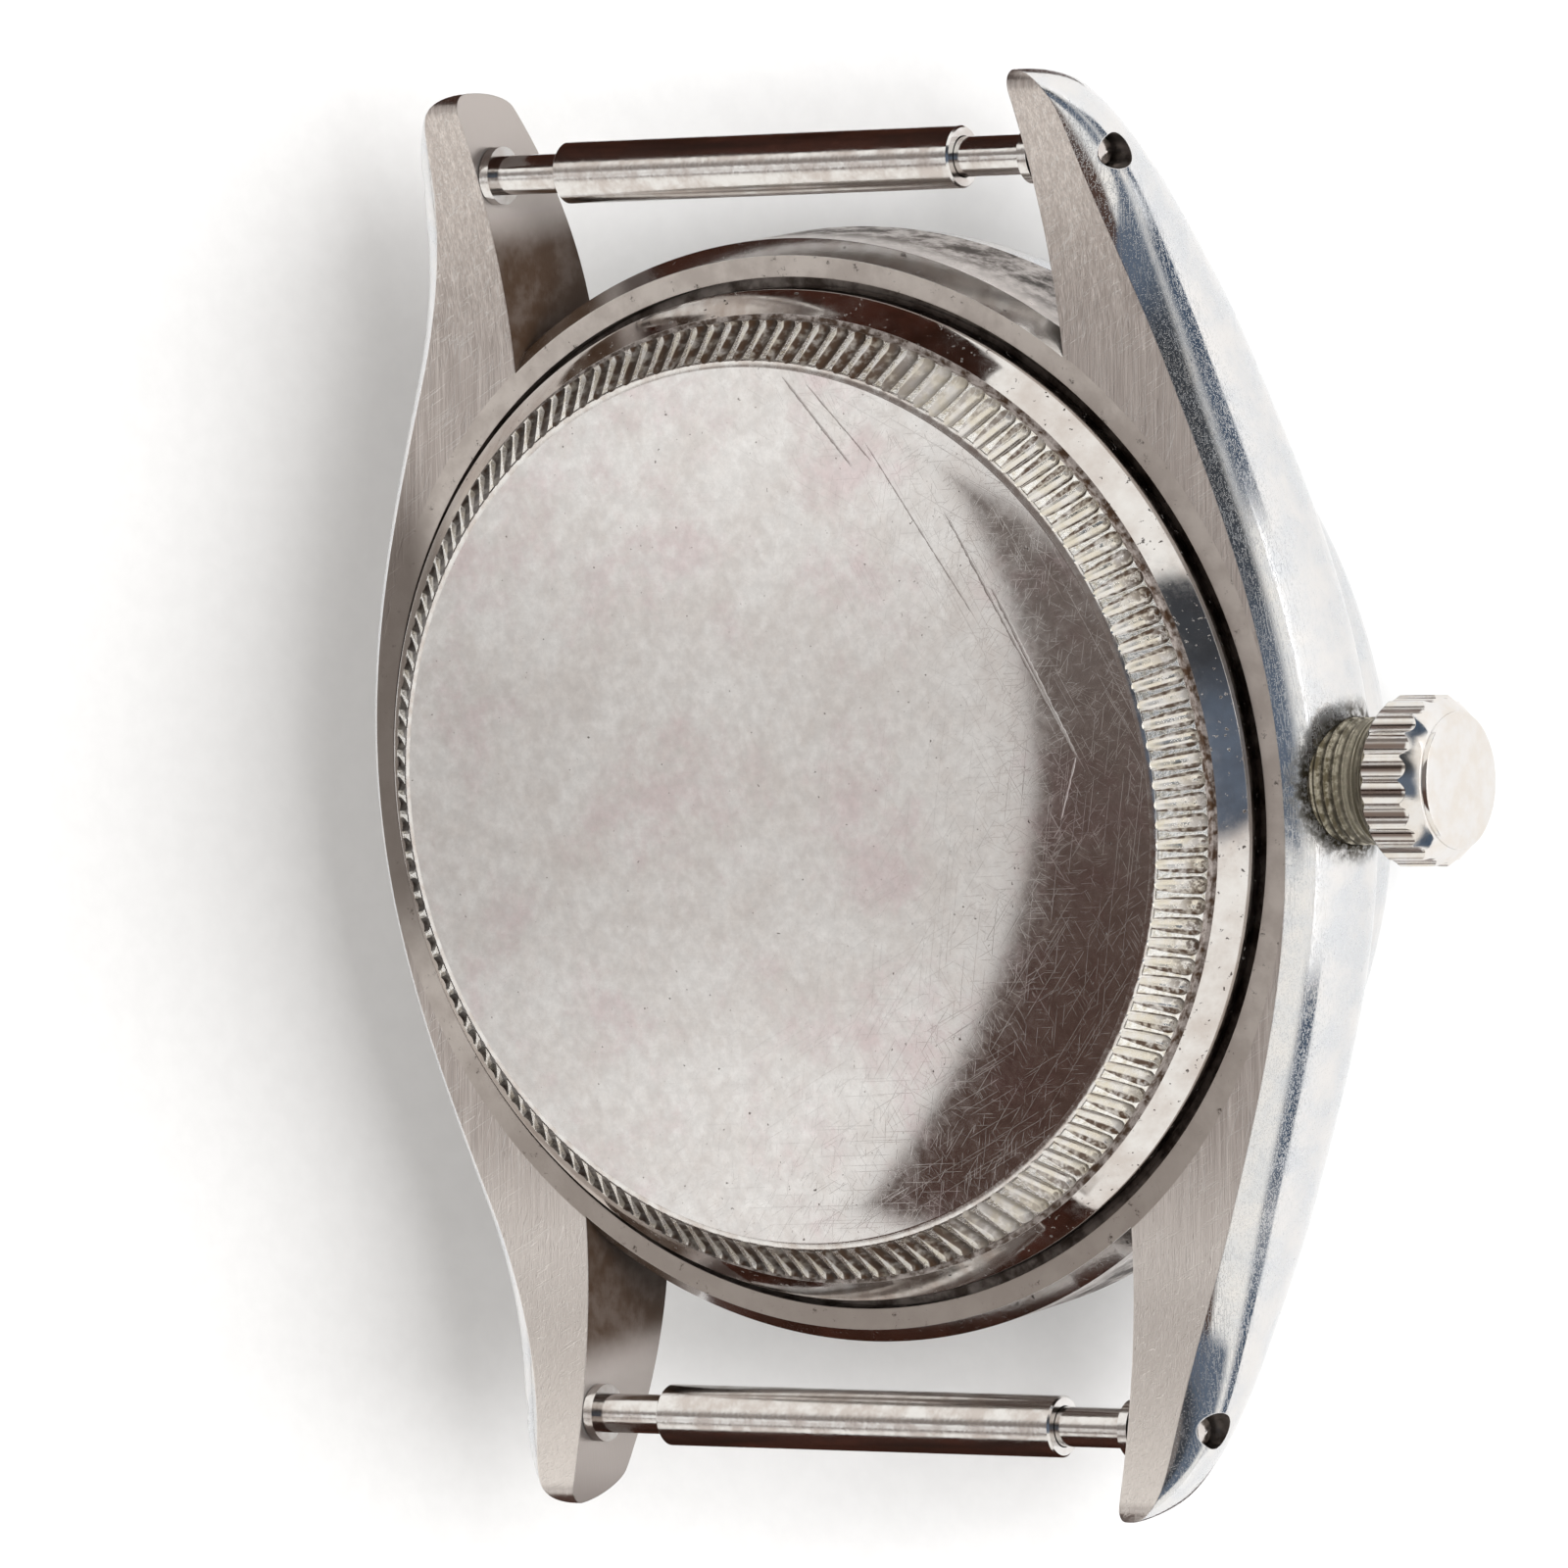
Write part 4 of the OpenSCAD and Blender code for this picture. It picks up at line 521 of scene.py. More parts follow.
def inner_lug_wall():
    """Stainless steel milled across, darkened towards the case by dirt and painted shade."""
    look = bpy.context.scene.watch_finishes
    sizes = bpy.context.scene.watch_case
    material, tree = new_tree("stainless_steel_milled_lug_wall")
    wall = sizes.wall / MM
    # Painted shade: the wall darkens towards its corner with the case.
    near = add(tree, "MapRange", radius_from(tree, "Z"), wall + 2.4, wall + 4.4, 1.0, 0.1, **SMOOTH)
    clots = add(tree, "MapRange", blotches(tree, 0.9, 5.0, 0.6), 0.3, 0.6, 0.95, 1.0, **SMOOTH)
    dirt = add(tree, "Math", near, clots, operation="MULTIPLY")
    base = add(tree, "Mix", dirt, look.warm_steel, look.grime, **COLOURS)
    rough = add(tree, "MapRange", dirt, 0, 1, 0.3, 0.65, **SMOOTH)
    bare = add(tree, "Math", 1.0, dirt, operation="SUBTRACT")
    finished(tree, base, rough, streaks(tree, 0.05, 2.0), 0.004, bare, 0.04)
    return material


def bored_steel():
    """Stainless steel bored and threaded on the lathe: dull and darkened with painted shade, with the
    thread's lines.
    """
    look = bpy.context.scene.watch_finishes
    material, tree = new_tree("stainless_steel_bored_and_threaded")
    pitch_mm = 0.45
    rise = add(tree, "Math", height_of(tree), math.tau / pitch_mm, operation="MULTIPLY")
    wound = add(tree, "Math", rise, turn_about(tree, "Z"), operation="SUBTRACT")
    thread = add(tree, "Math", wound, operation="SINE")
    # Painted shade: the bore, seen only through narrow gaps, is mostly the grime colour.
    old = add(tree, "MapRange", blotches(tree, 0.8, 6.0), 0.4, 0.65, 0.55, 0.9, **SMOOTH)
    base = add(tree, "Mix", old, look.warm_steel, look.grime, **COLOURS)
    rough = add(tree, "MapRange", blotches(tree, 0.3), 0.3, 0.7, 0.4, 0.55, **SMOOTH)
    finished(tree, base, rough, thread, 0.03)
    return material


def crown_steel():
    """Stainless steel, turned, milled and polished bright."""
    look = bpy.context.scene.watch_finishes
    material, tree = new_tree("stainless_steel_polished_crown")
    haze = blotches(tree, 0.7, 6.0, 0.65)
    dull = add(tree, "MapRange", haze, 0.35, 0.65, 0, 1, **SMOOTH)
    base = add(tree, "Mix", dull, look.steel, linear("#d8d2cb"), **COLOURS)
    sizes = bpy.context.scene.watch_crown
    beside = beside_lines(tree, turn_about(tree, "X"), sizes.flutes)
    band_end = (sizes.start + sizes.band) / MM
    radius = sizes.radius / MM
    banded = add(tree, "MapRange", height_of(tree, "X"), band_end - 0.1, band_end, 1, 0, **SMOOTH)
    inside = add(tree, "MapRange", beside, 0.2, 0.85, 0.95, 0, **SMOOTH)
    deep = add(tree, "MapRange", radius_from(tree, "X"), radius - 0.16, radius - 0.02, 1, 0.3, **SMOOTH)
    dirt = add(tree, "Math", inside, banded, operation="MULTIPLY")
    dirt = add(tree, "Math", dirt, deep, operation="MULTIPLY")
    base = add(tree, "Mix", dirt, base, linear("#5c4a41"), **COLOURS)
    # Painted shade: the flat face towards the case gets the grime colour, and the flank beside the tube
    # mirrors it as a dark band.
    start = sizes.start / MM
    shaded_back_face = add(tree, "MapRange", height_of(tree, "X"), start + 0.01, start + 0.06, 1, 0, **SMOOTH)
    base = add(tree, "Mix", shaded_back_face, base, look.grime, **COLOURS)
    rough = add(
        tree, "Math", add(tree, "MapRange", haze, 0.35, 0.7, 0.06, 0.15, **SMOOTH),
        add(tree, "Math", shaded_back_face, 0.4, operation="MULTIPLY"), operation="ADD",
    )
    bare = add(tree, "Math", 1.0, shaded_back_face, operation="SUBTRACT")
    finished(tree, base, rough, blotches(tree, 0.2), 0.0015, bare, 0.03)
    return material


def tube_steel():
    """Nickel silver tube with a cut thread, its grooves filled with olive brown dirt."""
    look = bpy.context.scene.watch_finishes
    material, tree = new_tree("nickel_silver_threaded_tube")
    radius = radius_from(tree, "X")
    low = add(tree, "MapRange", radius, 1.66, 1.84, 1.0, 0.15, **SMOOTH)
    film = add(tree, "MapRange", blotches(tree, 0.5, 7.0, 0.7), 0.3, 0.6, 0.5, 1.0, **SMOOTH)
    grooves = add(tree, "Math", low, film, operation="MULTIPLY")
    near = add(tree, "MapRange", height_of(tree, "X"), 16.8, 17.9, 1.0, 0.35, **SMOOTH)
    clots = add(tree, "MapRange", blotches(tree, 0.35, 7.0, 0.7, 2.0), 0.34, 0.56, 0.1, 1.0, **SMOOTH)
    caked = add(tree, "Math", near, clots, operation="MULTIPLY")
    dirt = add(tree, "Math", grooves, caked, operation="MAXIMUM")
    base = add(tree, "Mix", dirt, linear("#b5ae9c"), look.olive, **COLOURS)
    pitch_mm = 0.15
    run = add(tree, "Math", height_of(tree, "X"), math.tau / pitch_mm, operation="MULTIPLY")
    wound = add(tree, "Math", run, turn_about(tree, "X"), operation="ADD")
    thread = add(tree, "Math", wound, operation="SINE")
    rough = add(tree, "MapRange", dirt, 0, 1, 0.25, 0.7, **SMOOTH)
    finished(tree, base, rough, thread, 0.02, add(tree, "Math", 1.0, dirt, operation="SUBTRACT"))
    return material


def plain_metal(name, first, second, rough, size_mm, across_mm=0.0):
    """A hidden piece's metal: two close tones, and grain where it was ground."""
    material, tree = new_tree(name)
    cloud = blotches(tree, size_mm, 5.0)
    share = add(tree, "MapRange", cloud, 0.35, 0.65, 0, 1, **SMOOTH)
    base = add(tree, "Mix", share, first, second, **COLOURS)
    relief = streaks(tree, across_mm, across_mm * 30) if across_mm else blotches(tree, size_mm / 6)
    uneven = add(tree, "MapRange", cloud, 0.3, 0.7, rough * 0.7, rough * 1.3, **SMOOTH)
    finished(tree, base, uneven, relief, 0.003)
    return material


def clear_acrylic():
    """Acrylic glass, turned and polished: clear, with a few hairlines."""
    material, tree = new_tree("acrylic_polished_crystal")
    lines = hairlines(tree, 0.03, 2.5, (20, 77, 140), 0.7)
    finished(
        tree, linear("#f6f7f4"), add(tree, "MapRange", lines, 0, 1, 0.02, 0.2, **SMOOTH), lines, 0.001, 0.0,
        IOR=1.49, **{"Transmission Weight": 1.0},
    )
    return material


def moulded_rubber():
    """Nitrile rubber, moulded: black, slightly bloomed."""
    material, tree = new_tree("nitrile_rubber_moulded")
    bloom = add(tree, "MapRange", blotches(tree, 0.6, 5.0), 0.4, 0.7, 0, 0.6, **SMOOTH)
    finished(
        tree, add(tree, "Mix", bloom, linear("#17181a"), linear("#3a3a3a"), **COLOURS), 0.6,
        blotches(tree, 0.1), 0.004, 0.0,
    )
    return material


def silvered_dial():
    """Brass dial, silvered and brushed from the centre, with a printed minute track and steel batons."""
    look = bpy.context.scene.watch_finishes
    material, tree = new_tree("brass_silvered_dial")
    turn = turn_about(tree, "Z")
    around = add(tree, "Math", turn, 60.0, operation="MULTIPLY")
    rays = add(tree, "TexNoise", named={"W": around, "Scale": 3.0}, noise_dimensions="1D")
    share = add(tree, "MapRange", rays, 0.3, 0.7, 0, 0.5, **SMOOTH)
    face = add(tree, "Mix", share, look.dial, linear("#cfc9ba"), **COLOURS)
    radius = radius_from(tree, "Z")
    tick = add(tree, "MapRange", beside_lines(tree, turn, 60), 0.0, 0.12, 1.0, 0.0, **SMOOTH)
    band = add(
        tree, "Math", add(tree, "MapRange", radius, 11.55, 11.6, 0, 1, **SMOOTH),
        add(tree, "MapRange", radius, 12.1, 12.15, 1, 0, **SMOOTH), operation="MULTIPLY",
    )
    track = add(tree, "Math", tick, band, operation="MULTIPLY")
    face = add(tree, "Mix", track, face, linear("#1f1f20"), **COLOURS)
    raised = add(tree, "MapRange", height_of(tree), 3.84, 3.87, 1.0, 0.0, **SMOOTH)
    base = add(tree, "Mix", raised, face, look.steel, **COLOURS)
    rough = add(tree, "MapRange", raised, 0, 1, 0.42, 0.1, **SMOOTH)
    finished(tree, base, rough, rays, 0.002, add(tree, "MapRange", raised, 0, 1, 0.35, 1.0, **SMOOTH))
    return material


def card(name, first, second, fade):
    """Card that glows in two close tones of its own, as a lit card would look, thinning to clear over a share
    of its width and height.
    """
    material, tree = new_tree(name)
    share = add(tree, "MapRange", blotches(tree, 3.0), 0.35, 0.65, 0, 1, **SMOOTH)
    tone = add(tree, "Mix", share, linear(first), linear(second), **COLOURS)
    span = add(tree, "SeparateXYZ", add(tree, "TexCoord").outputs["Generated"])
    off = add(tree, "Math", span.outputs["Y"], 2.0, operation="MULTIPLY")
    off = add(tree, "Math", off, 1.0, operation="SUBTRACT")
    off = add(tree, "Math", off, operation="ABSOLUTE")
    aside = add(tree, "MapRange", off, 1 - fade, 1.0, 0, 1, **SMOOTH)
    above = add(tree, "MapRange", span.outputs["Z"], 1 - fade, 1.0, 0, 1, **SMOOTH)
    # Painted light: the card glows with its own colour and is lit by nothing.
    shade = add(tree, "Emission", named={"Color": tone})
    if fade:
        clear = add(tree, "BsdfTransparent")
        shade = add(tree, "MixShader", add(tree, "Math", aside, above, operation="MAXIMUM"), shade, clear)
    add(tree, "OutputMaterial", named={"Surface": shade})
    return material


def synthetic_ruby():
    """Synthetic ruby, ground and polished: deep red, glassy."""
    look = bpy.context.scene.watch_finishes
    material, tree = new_tree("synthetic_ruby_polished")
    share = add(tree, "MapRange", blotches(tree, 0.3), 0.3, 0.7, 0, 1, **SMOOTH)
    base = add(tree, "Mix", share, look.ruby, linear("#c33a58"), **COLOURS)
    finished(tree, base, 0.06, blotches(tree, 0.2), 0.001, 0.0, IOR=1.76, **{"Transmission Weight": 0.35})
    return material


# Modelling


def start_clean():
    """Leaves edit mode and deselects everything, because an operator acts on all that is selected."""
    if bpy.context.mode != "OBJECT":
        bpy.ops.object.mode_set(mode="OBJECT")
    bpy.ops.object.select_all(action="DESELECT")


def settle(piece, name):
    """Names a piece, puts its place into its mesh and closes its seams with the faces pointing outwards."""
    start_clean()
    piece.select_set(True)
    bpy.context.view_layer.objects.active = piece
    piece.name = piece.data.name = name
    bpy.ops.object.transform_apply(location=True, rotation=True, scale=True)
    bpy.ops.object.mode_set(mode="EDIT")
    bpy.ops.mesh.select_all(action="SELECT")
    bpy.ops.mesh.remove_doubles(threshold=1e-6)
    bpy.ops.mesh.normals_make_consistent(inside=False)
    bpy.ops.object.mode_set(mode="OBJECT")
    return piece


def turned(name, profile, steps, about="Z"):
    """Turns a profile of [radius, height] points, in metres, about the case axis (Z) or the stem axis (X)."""
    start_clean()
    stem_z = bpy.context.scene.watch_case.stem_z

    def spot(point):
        return Vector((point[0], 0, point[1])) if about == "Z" else Vector((point[1], 0, stem_z + point[0]))

    bpy.ops.mesh.primitive_plane_add(size=MM, location=spot(profile[0]))
    piece = bpy.context.object
    bpy.ops.object.mode_set(mode="EDIT")
    bpy.ops.mesh.select_mode(type="VERT")
    bpy.ops.mesh.select_all(action="SELECT")
    bpy.ops.mesh.merge(type="CENTER")
    for before, after in zip(profile, profile[1:]):
        step = spot(after) - spot(before)
        bpy.ops.mesh.extrude_vertices_move(TRANSFORM_OT_translate={"value": step})
    bpy.ops.mesh.select_all(action="SELECT")
    if about == "Z":
        centre, axis = (0, 0, 0), (0, 0, 1)
    else:
        centre, axis = (0, 0, stem_z), (1, 0, 0)
    bpy.ops.mesh.spin(steps=steps, angle=math.tau, center=centre, axis=axis)
    return settle(piece, name)


def spun_copies(piece, count, centre, axis):
    """Copies a cutter evenly round an axis, all in one mesh."""
    start_clean()
    piece.select_set(True)
    bpy.context.view_layer.objects.active = piece
    bpy.ops.object.mode_set(mode="EDIT")
    bpy.ops.mesh.select_all(action="SELECT")
    bpy.ops.mesh.spin(
        steps=count - 1, angle=math.tau * (count - 1) / count, center=centre, axis=axis, dupli=True,
    )
    bpy.ops.object.mode_set(mode="OBJECT")
    return piece


def combine(piece, other, operation):
    """Adds or cuts away another closed shape, and deletes it."""
    if not other.data.polygons:
        raise RuntimeError(f"{other.name} has no faces to combine with {piece.name}")
    start_clean()
    piece.select_set(True)
    bpy.context.view_layer.objects.active = piece
    modifier = piece.modifiers.new("combine", "BOOLEAN")
    modifier.operation = operation
    modifier.object = other
    modifier.solver = "MANIFOLD"
    faces_before = len(piece.data.polygons)
    bpy.ops.object.modifier_apply(modifier=modifier.name)
    if not piece.data.polygons:
        raise RuntimeError(f"{piece.name} lost its shape against {other.name}")
    if len(piece.data.polygons) == faces_before:
        print(f"NOTE {piece.name} kept {faces_before} faces against {other.name}")
    bpy.data.objects.remove(other)
    return piece


def dress(piece, materials, pick):
    """Gives a piece its finishes; pick says which by a face's middle and normal."""
    piece.data.materials.clear()
    for material in materials:
        piece.data.materials.append(material)
    for face in piece.data.polygons:
        face.material_index = pick(face.center / MM, face.normal)
    return piece


def smooth(piece, degrees):
    """Shades a piece smooth where its faces meet at less than an angle."""
    start_clean()
    piece.select_set(True)
    bpy.context.view_layer.objects.active = piece
    bpy.ops.object.shade_smooth_by_angle(angle=math.radians(degrees))


class CaseOutline:
    """The case's outline in plan and its thickness, by the distance y along the lugs, in millimetres."""

    def __init__(self, s):
        self.end = s.span / MM / 2
        # The lug's tip at its narrowest, and where the round of its end starts.
        self.tip = self.end - 0.44
        self.cap = self.end - 4.27
        self.root = s.gap / MM / 2
        self.under_z, self.seat_z = s.underside / MM, s.seat / MM
        self.widths = (s.width / MM, s.width_end / MM, s.face / MM, s.face_end / MM)
        # How soon the flank and the face draw in along the lugs, and how square their ends are.
        self.flank_bow, self.face_bow = 2.07, 2
        self.flank_end, self.face_end = 2.57, 7
        # Where the lugs start to bend down, and how far and how soon their two sides drop.
        self.bend_from = 12.4
        self.under_drop, self.under_power, self.top_drop = 1.86, 1.82, 3.4
        # The share of the thickness that lies above the widest line, at the middle and what the lugs add.
        self.mid_share, self.mid_gain = 0.354, 0.368
        self.end_round = 0.6
        # How far the side comes in below the widest line, and the angle at which the flank starts.
        self.tuck, self.tuck_gain = 1.04, 1.26
        self.first_angle = 32

    def share(self, y, power):
        """The share of the lug's width that the round of its end leaves."""
        if abs(y) < self.cap:
            return 1
        return math.sqrt(max(0, 1 - ((abs(y) - self.cap) / (self.end - self.cap)) ** power))

    def slim(self, wide, narrow, bow, y):
        """A width that draws in from the middle of the case to the lugs' tips."""
        t = abs(y) / self.tip
        return wide - (wide - narrow) * (bow * t**2 - (bow - 1) * t**4)

    def slice_at(self, y, upper, lower):
        """The points round one slice: the lug wall, the brushed face's edge and the flank's two halves."""
        wide, narrow, face, face_narrow = self.widths
        flank = self.slim(wide, narrow, self.flank_bow, y) / 2 - self.root
        brushed = self.slim(face, face_narrow, self.face_bow, y) / 2 - self.root
        outer = self.root + flank * self.share(y, self.flank_end)
        edge = self.root + brushed * self.share(y, self.face_end)
        bend = max(abs(y) - self.bend_from, 0) / (self.tip - self.bend_from)
        under = self.under_z + self.under_drop * bend**self.under_power
        top = self.seat_z + self.top_drop * bend**2
        reach = (y / self.tip) ** 2
        mid = top + (under - top) * (self.mid_share + self.mid_gain * reach)
        d = abs(y) - self.end + self.end_round
        rounding = 1 if d < 0 else math.sqrt(max(0, 1 - (d / self.end_round) ** 2))
        under, top = mid + (under - mid) * rounding, mid + (top - mid) * rounding
        inner = max(outer - self.tuck - self.tuck_gain * reach, self.root + 0.25 * (outer - self.root))
        first = math.radians(self.first_angle)
        s0 = math.sin(first)
        points = [(self.root, y, under)]
        for i in range(upper + 1):
            a = first + (math.pi / 2 - first) * i / upper
            points.append((edge + (outer - edge) * (math.sin(a) - s0) / (1 - s0), y,
                           mid + (under - mid) * math.cos(a) / math.cos(first)))
        for i in range(1, lower + 1):
            b = math.radians(84 * i / lower)
            points.append((inner + (outer - inner) * math.cos(b), y, mid - (mid - top) * math.sin(b)))
        return points + [(self.root, y, top)]


BRUSHED, FLANK, WALL, EDGE, LUG_WALL, BORE = range(6)


def case_side(outline, hand):
    """One flank with its two lugs: a sheet wrapped round the case's slices, capped at both lug ends."""
    upper, lower, rows = 26, 18, 150
    around = upper + lower + 3
    start_clean()
    bpy.ops.mesh.primitive_grid_add(x_subdivisions=around, y_subdivisions=rows, size=10 * MM)
    piece = bpy.context.object
    points = []
    for j in range(rows + 1):
        y = (outline.end - 0.004) * math.sin(math.pi * (j / rows - 0.5))
        ring = outline.slice_at(y, upper, lower)
        points += ring + ring[:1]
    for vertex, (x, y, z) in zip(piece.data.vertices, points):
        vertex.co = (hand * x * MM, y * MM, z * MM)
    for face in piece.data.polygons:
        column = face.index % around
        face.material_index = BRUSHED if column == 0 else LUG_WALL if column == around - 1 else FLANK
    bpy.ops.object.mode_set(mode="EDIT")
    bpy.ops.mesh.select_all(action="SELECT")
    bpy.ops.mesh.remove_doubles(threshold=1e-7)
    bpy.ops.mesh.select_all(action="DESELECT")
    bpy.ops.mesh.select_mode(type="EDGE")
    bpy.ops.mesh.select_non_manifold(extend=False)
    bpy.ops.mesh.edge_face_add()
    bpy.ops.mesh.select_all(action="SELECT")
    bpy.ops.mesh.normals_make_consistent(inside=False)
    bpy.ops.object.mode_set(mode="OBJECT")
    return piece


def lend(piece, stand_ins, index=None):
    """Gives a shape the stand-in finishes, and all its faces one of them, to be kept when it is combined."""
    for stand_in in stand_ins:
        piece.data.materials.append(stand_in)
    if index is not None:
        for face in piece.data.polygons:
            face.material_index = index


def change_finishes(piece, stand_ins, finishes):
    """Puts the real finishes in the place of the stand-ins."""
    for index, material in enumerate(finishes):
        piece.data.materials[index] = material
    for stand_in in stand_ins:
        bpy.data.materials.remove(stand_in)


def sharp_between_finishes(piece):
    """Keeps a crisp edge wherever two finishes meet."""
    beside = {}
    for face in piece.data.polygons:
        for key in face.edge_keys:
            beside.setdefault(key, set()).add(face.material_index)
    for edge in piece.data.edges:
        if len(beside.get(edge.key, ())) > 1:
            edge.use_edge_sharp = True


class WATCHBACK_OT_middle_case(bpy.types.Operator):
    """Models the middle case: two polished flanks with curved lugs on a turned body, bored and drilled"""

    bl_idname = "watchback.middle_case"
    bl_label = "Middle case"

    def execute(self, context):
        s = context.scene.watch_case
        z = s.underside
        neck_r, neck = 13.55 * MM, s.seat - 1.7 * MM
        chamfer = 0.35 * MM
        core = turned(
            "core",
            [
                (0, neck), (neck_r, neck), (neck_r, s.seat), (s.wall - chamfer, s.seat),
                (s.wall, s.seat + chamfer), (s.wall, z - s.bevel - 0.1 * MM),
                (s.wall - 0.1 * MM, z - s.bevel + 0.02 * MM), (s.wall - s.bevel, z), (0, z),
            ],
            360,
        )

        def turned_face(middle, normal):
            radius = math.hypot(middle.x, middle.y)
            if normal.z > 0.95:
                return BRUSHED
            if normal.z > 0.2:
                return EDGE
            return WALL if radius > s.wall / MM - 0.3 else BORE

        stand_ins = [bpy.data.materials.new(f"place_{i}") for i in range(6)]
        dress(core, stand_ins, turned_face)
        outline = CaseOutline(s)
        for hand in (1, -1):
            # Within a flank the turned wall is cut short, so that it can't stand out of the polished side.
            bpy.ops.mesh.primitive_cube_add(size=1, location=(hand * 19.2 * MM, 0, 6 * MM))
            end = bpy.context.object
            end.scale = (10 * MM, 24 * MM, 12 * MM)
            settle(end, "wall_end")
            lend(end, stand_ins, WALL)
            combine(core, end, "DIFFERENCE")
            side = case_side(outline, hand)
            lend(side, stand_ins)
            combine(core, side, "UNION")
        # From the dial side: the dial's opening, the movement's seat, the thread, the gasket's groove and
        # the recess of the flange.
        opening = 12.4 * MM
        movement_r, movement_z = 12.95 * MM, 3.9 * MM
        thread, thread_z = 14.0 * MM, 6.0 * MM
        ledge = z - 0.6 * MM
        gasket, gasket_z = thread + 0.51 * MM, ledge - 0.52 * MM
        recess = 15.1 * MM
        bore = turned(
            "bore",
            [
                (0, neck - MM), (opening, neck - MM), (opening, movement_z), (movement_r, movement_z),
                (movement_r, thread_z), (thread, thread_z), (thread, gasket_z), (gasket, gasket_z),
                (gasket, ledge), (recess, ledge), (recess, z + MM), (0, z + MM),
            ],
            360,
        )
        cutters = [bore]
        for y in (-s.bar_y, s.bar_y):
            bpy.ops.mesh.primitive_cylinder_add(
                vertices=48, radius=s.hole, depth=40 * MM, location=(0, y, s.bar_z),
                rotation=(0, math.pi / 2, 0),
            )
            cutters.append(bpy.context.object)
        # The stem's hole, the crown tube's hole and the seat of the tube's wide end.
        for radius, first, last in ((0.51, 11, 30), (1.21, 14.2, 30), (1.83, 15.57, 30)):
            bpy.ops.mesh.primitive_cylinder_add(
                vertices=64, radius=radius * MM, depth=(last - first) * MM, rotation=(0, math.pi / 2, 0),
                location=((first + last) / 2 * MM, 0, s.stem_z),
            )
            cutters.append(bpy.context.object)
        for cutter in cutters:
            lend(cutter, stand_ins, BORE)
            combine(core, cutter, "DIFFERENCE")
        case = settle(core, "middle_case_steel")
        finishes = (
            brushed_underside(), polished_flank(), turned_wall(), wall_edge(), inner_lug_wall(),
            bored_steel(),
        )
        change_finishes(case, stand_ins, finishes)
        smooth(case, 28)
        sharp_between_finishes(case)
        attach(case, "case")
        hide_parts("middle_case")
        return {"FINISHED"}


DISC, ROLLED, FLUTE, RIDGE, LIP, FLANGE, NECK = range(7)


def back_profile(s, z, ledge, dome, disc_end):
    """The case back's section as [radius, height] points, from the inside's middle round to the disc's."""
    neck_r, bore_r = 13.96 * MM, 13.1 * MM
    low = ledge - 1.2 * MM
    ceiling = s.rim - 1.15 * MM
    edge = z + 0.46 * MM
    profile = [
        (0, ceiling), (bore_r - 0.5 * MM, ceiling), (bore_r, ceiling - 0.5 * MM), (bore_r, low),
        (neck_r - 0.1 * MM, low), (neck_r, low + 0.1 * MM), (neck_r, ledge + 0.02 * MM),
        (s.flange - 0.03 * MM, ledge + 0.02 * MM), (s.flange, ledge + 0.05 * MM),
        (s.flange, edge - 0.08 * MM), (s.flange - 0.02 * MM, edge - 0.02 * MM),
        (s.flange - 0.07 * MM, edge + 0.02 * MM),
    ]
    top, start = (s.lip, s.foot - 0.3 * MM), profile[-1]
    for t in (0.25, 0.5, 0.75):
        hollow = 0.03 * MM * math.sin(math.pi * t)
        profile.append((start[0] + (top[0] - start[0]) * t, start[1] + (top[1] - start[1]) * t - hollow))
    profile += [
        top, (s.band, s.foot - 0.3 * MM), (s.band, s.foot), (s.disc + 0.02 * MM, s.rim - 0.075 * MM),
    ]
    for degrees in (8, 22, 38, 54, 70, 82, 90):
        turn = math.radians(degrees)
        profile.append(
            (disc_end + s.rolled * math.cos(turn), dome(disc_end) - 0.13 * MM * (1 - math.sin(turn))),
        )
    return profile + [(disc_end * i / 14, dome(disc_end * i / 14)) for i in range(13, -1, -1)]


def flute_cutters(s):
    """Ball-ended cutters all round, run in along the band and lifted a little towards the disc."""
    start_clean()
    bpy.ops.mesh.primitive_uv_sphere_add(segments=20, ring_count=14, radius=s.cutter)
    cutter = bpy.context.object
    for vertex in cutter.data.vertices:
        if vertex.co.z < -1e-7:
            vertex.co.z -= 1.2 * MM
    inward = s.band - s.disc
    rise = s.rim - s.foot
    slope = math.atan2(rise, inward)
    lift = math.radians(6.5)
    along = Vector((-math.cos(slope), 0, math.sin(slope)))
    out = Vector((math.sin(slope), 0, math.cos(slope)))
    run = along * math.cos(lift) + out * math.sin(lift)
    up = out * math.cos(lift) - along * math.sin(lift)
    foot = Vector((s.band, 0, s.foot))
    reach = math.hypot(inward, rise) - s.cutter * 0.35
    tip = foot + along * reach + out * (s.cutter - s.depth * 0.42)
    axes = Matrix(((up.x, 0, run.x, 0), (0, 1, 0, 0), (up.z, 0, run.z, 0), (0, 0, 0, 1)))
    cutter.matrix_world = Matrix.Translation(tip) @ axes
    settle(cutter, "flute_cutter")
    return spun_copies(cutter, s.flutes, (0, 0, 0), (0, 0, 1))


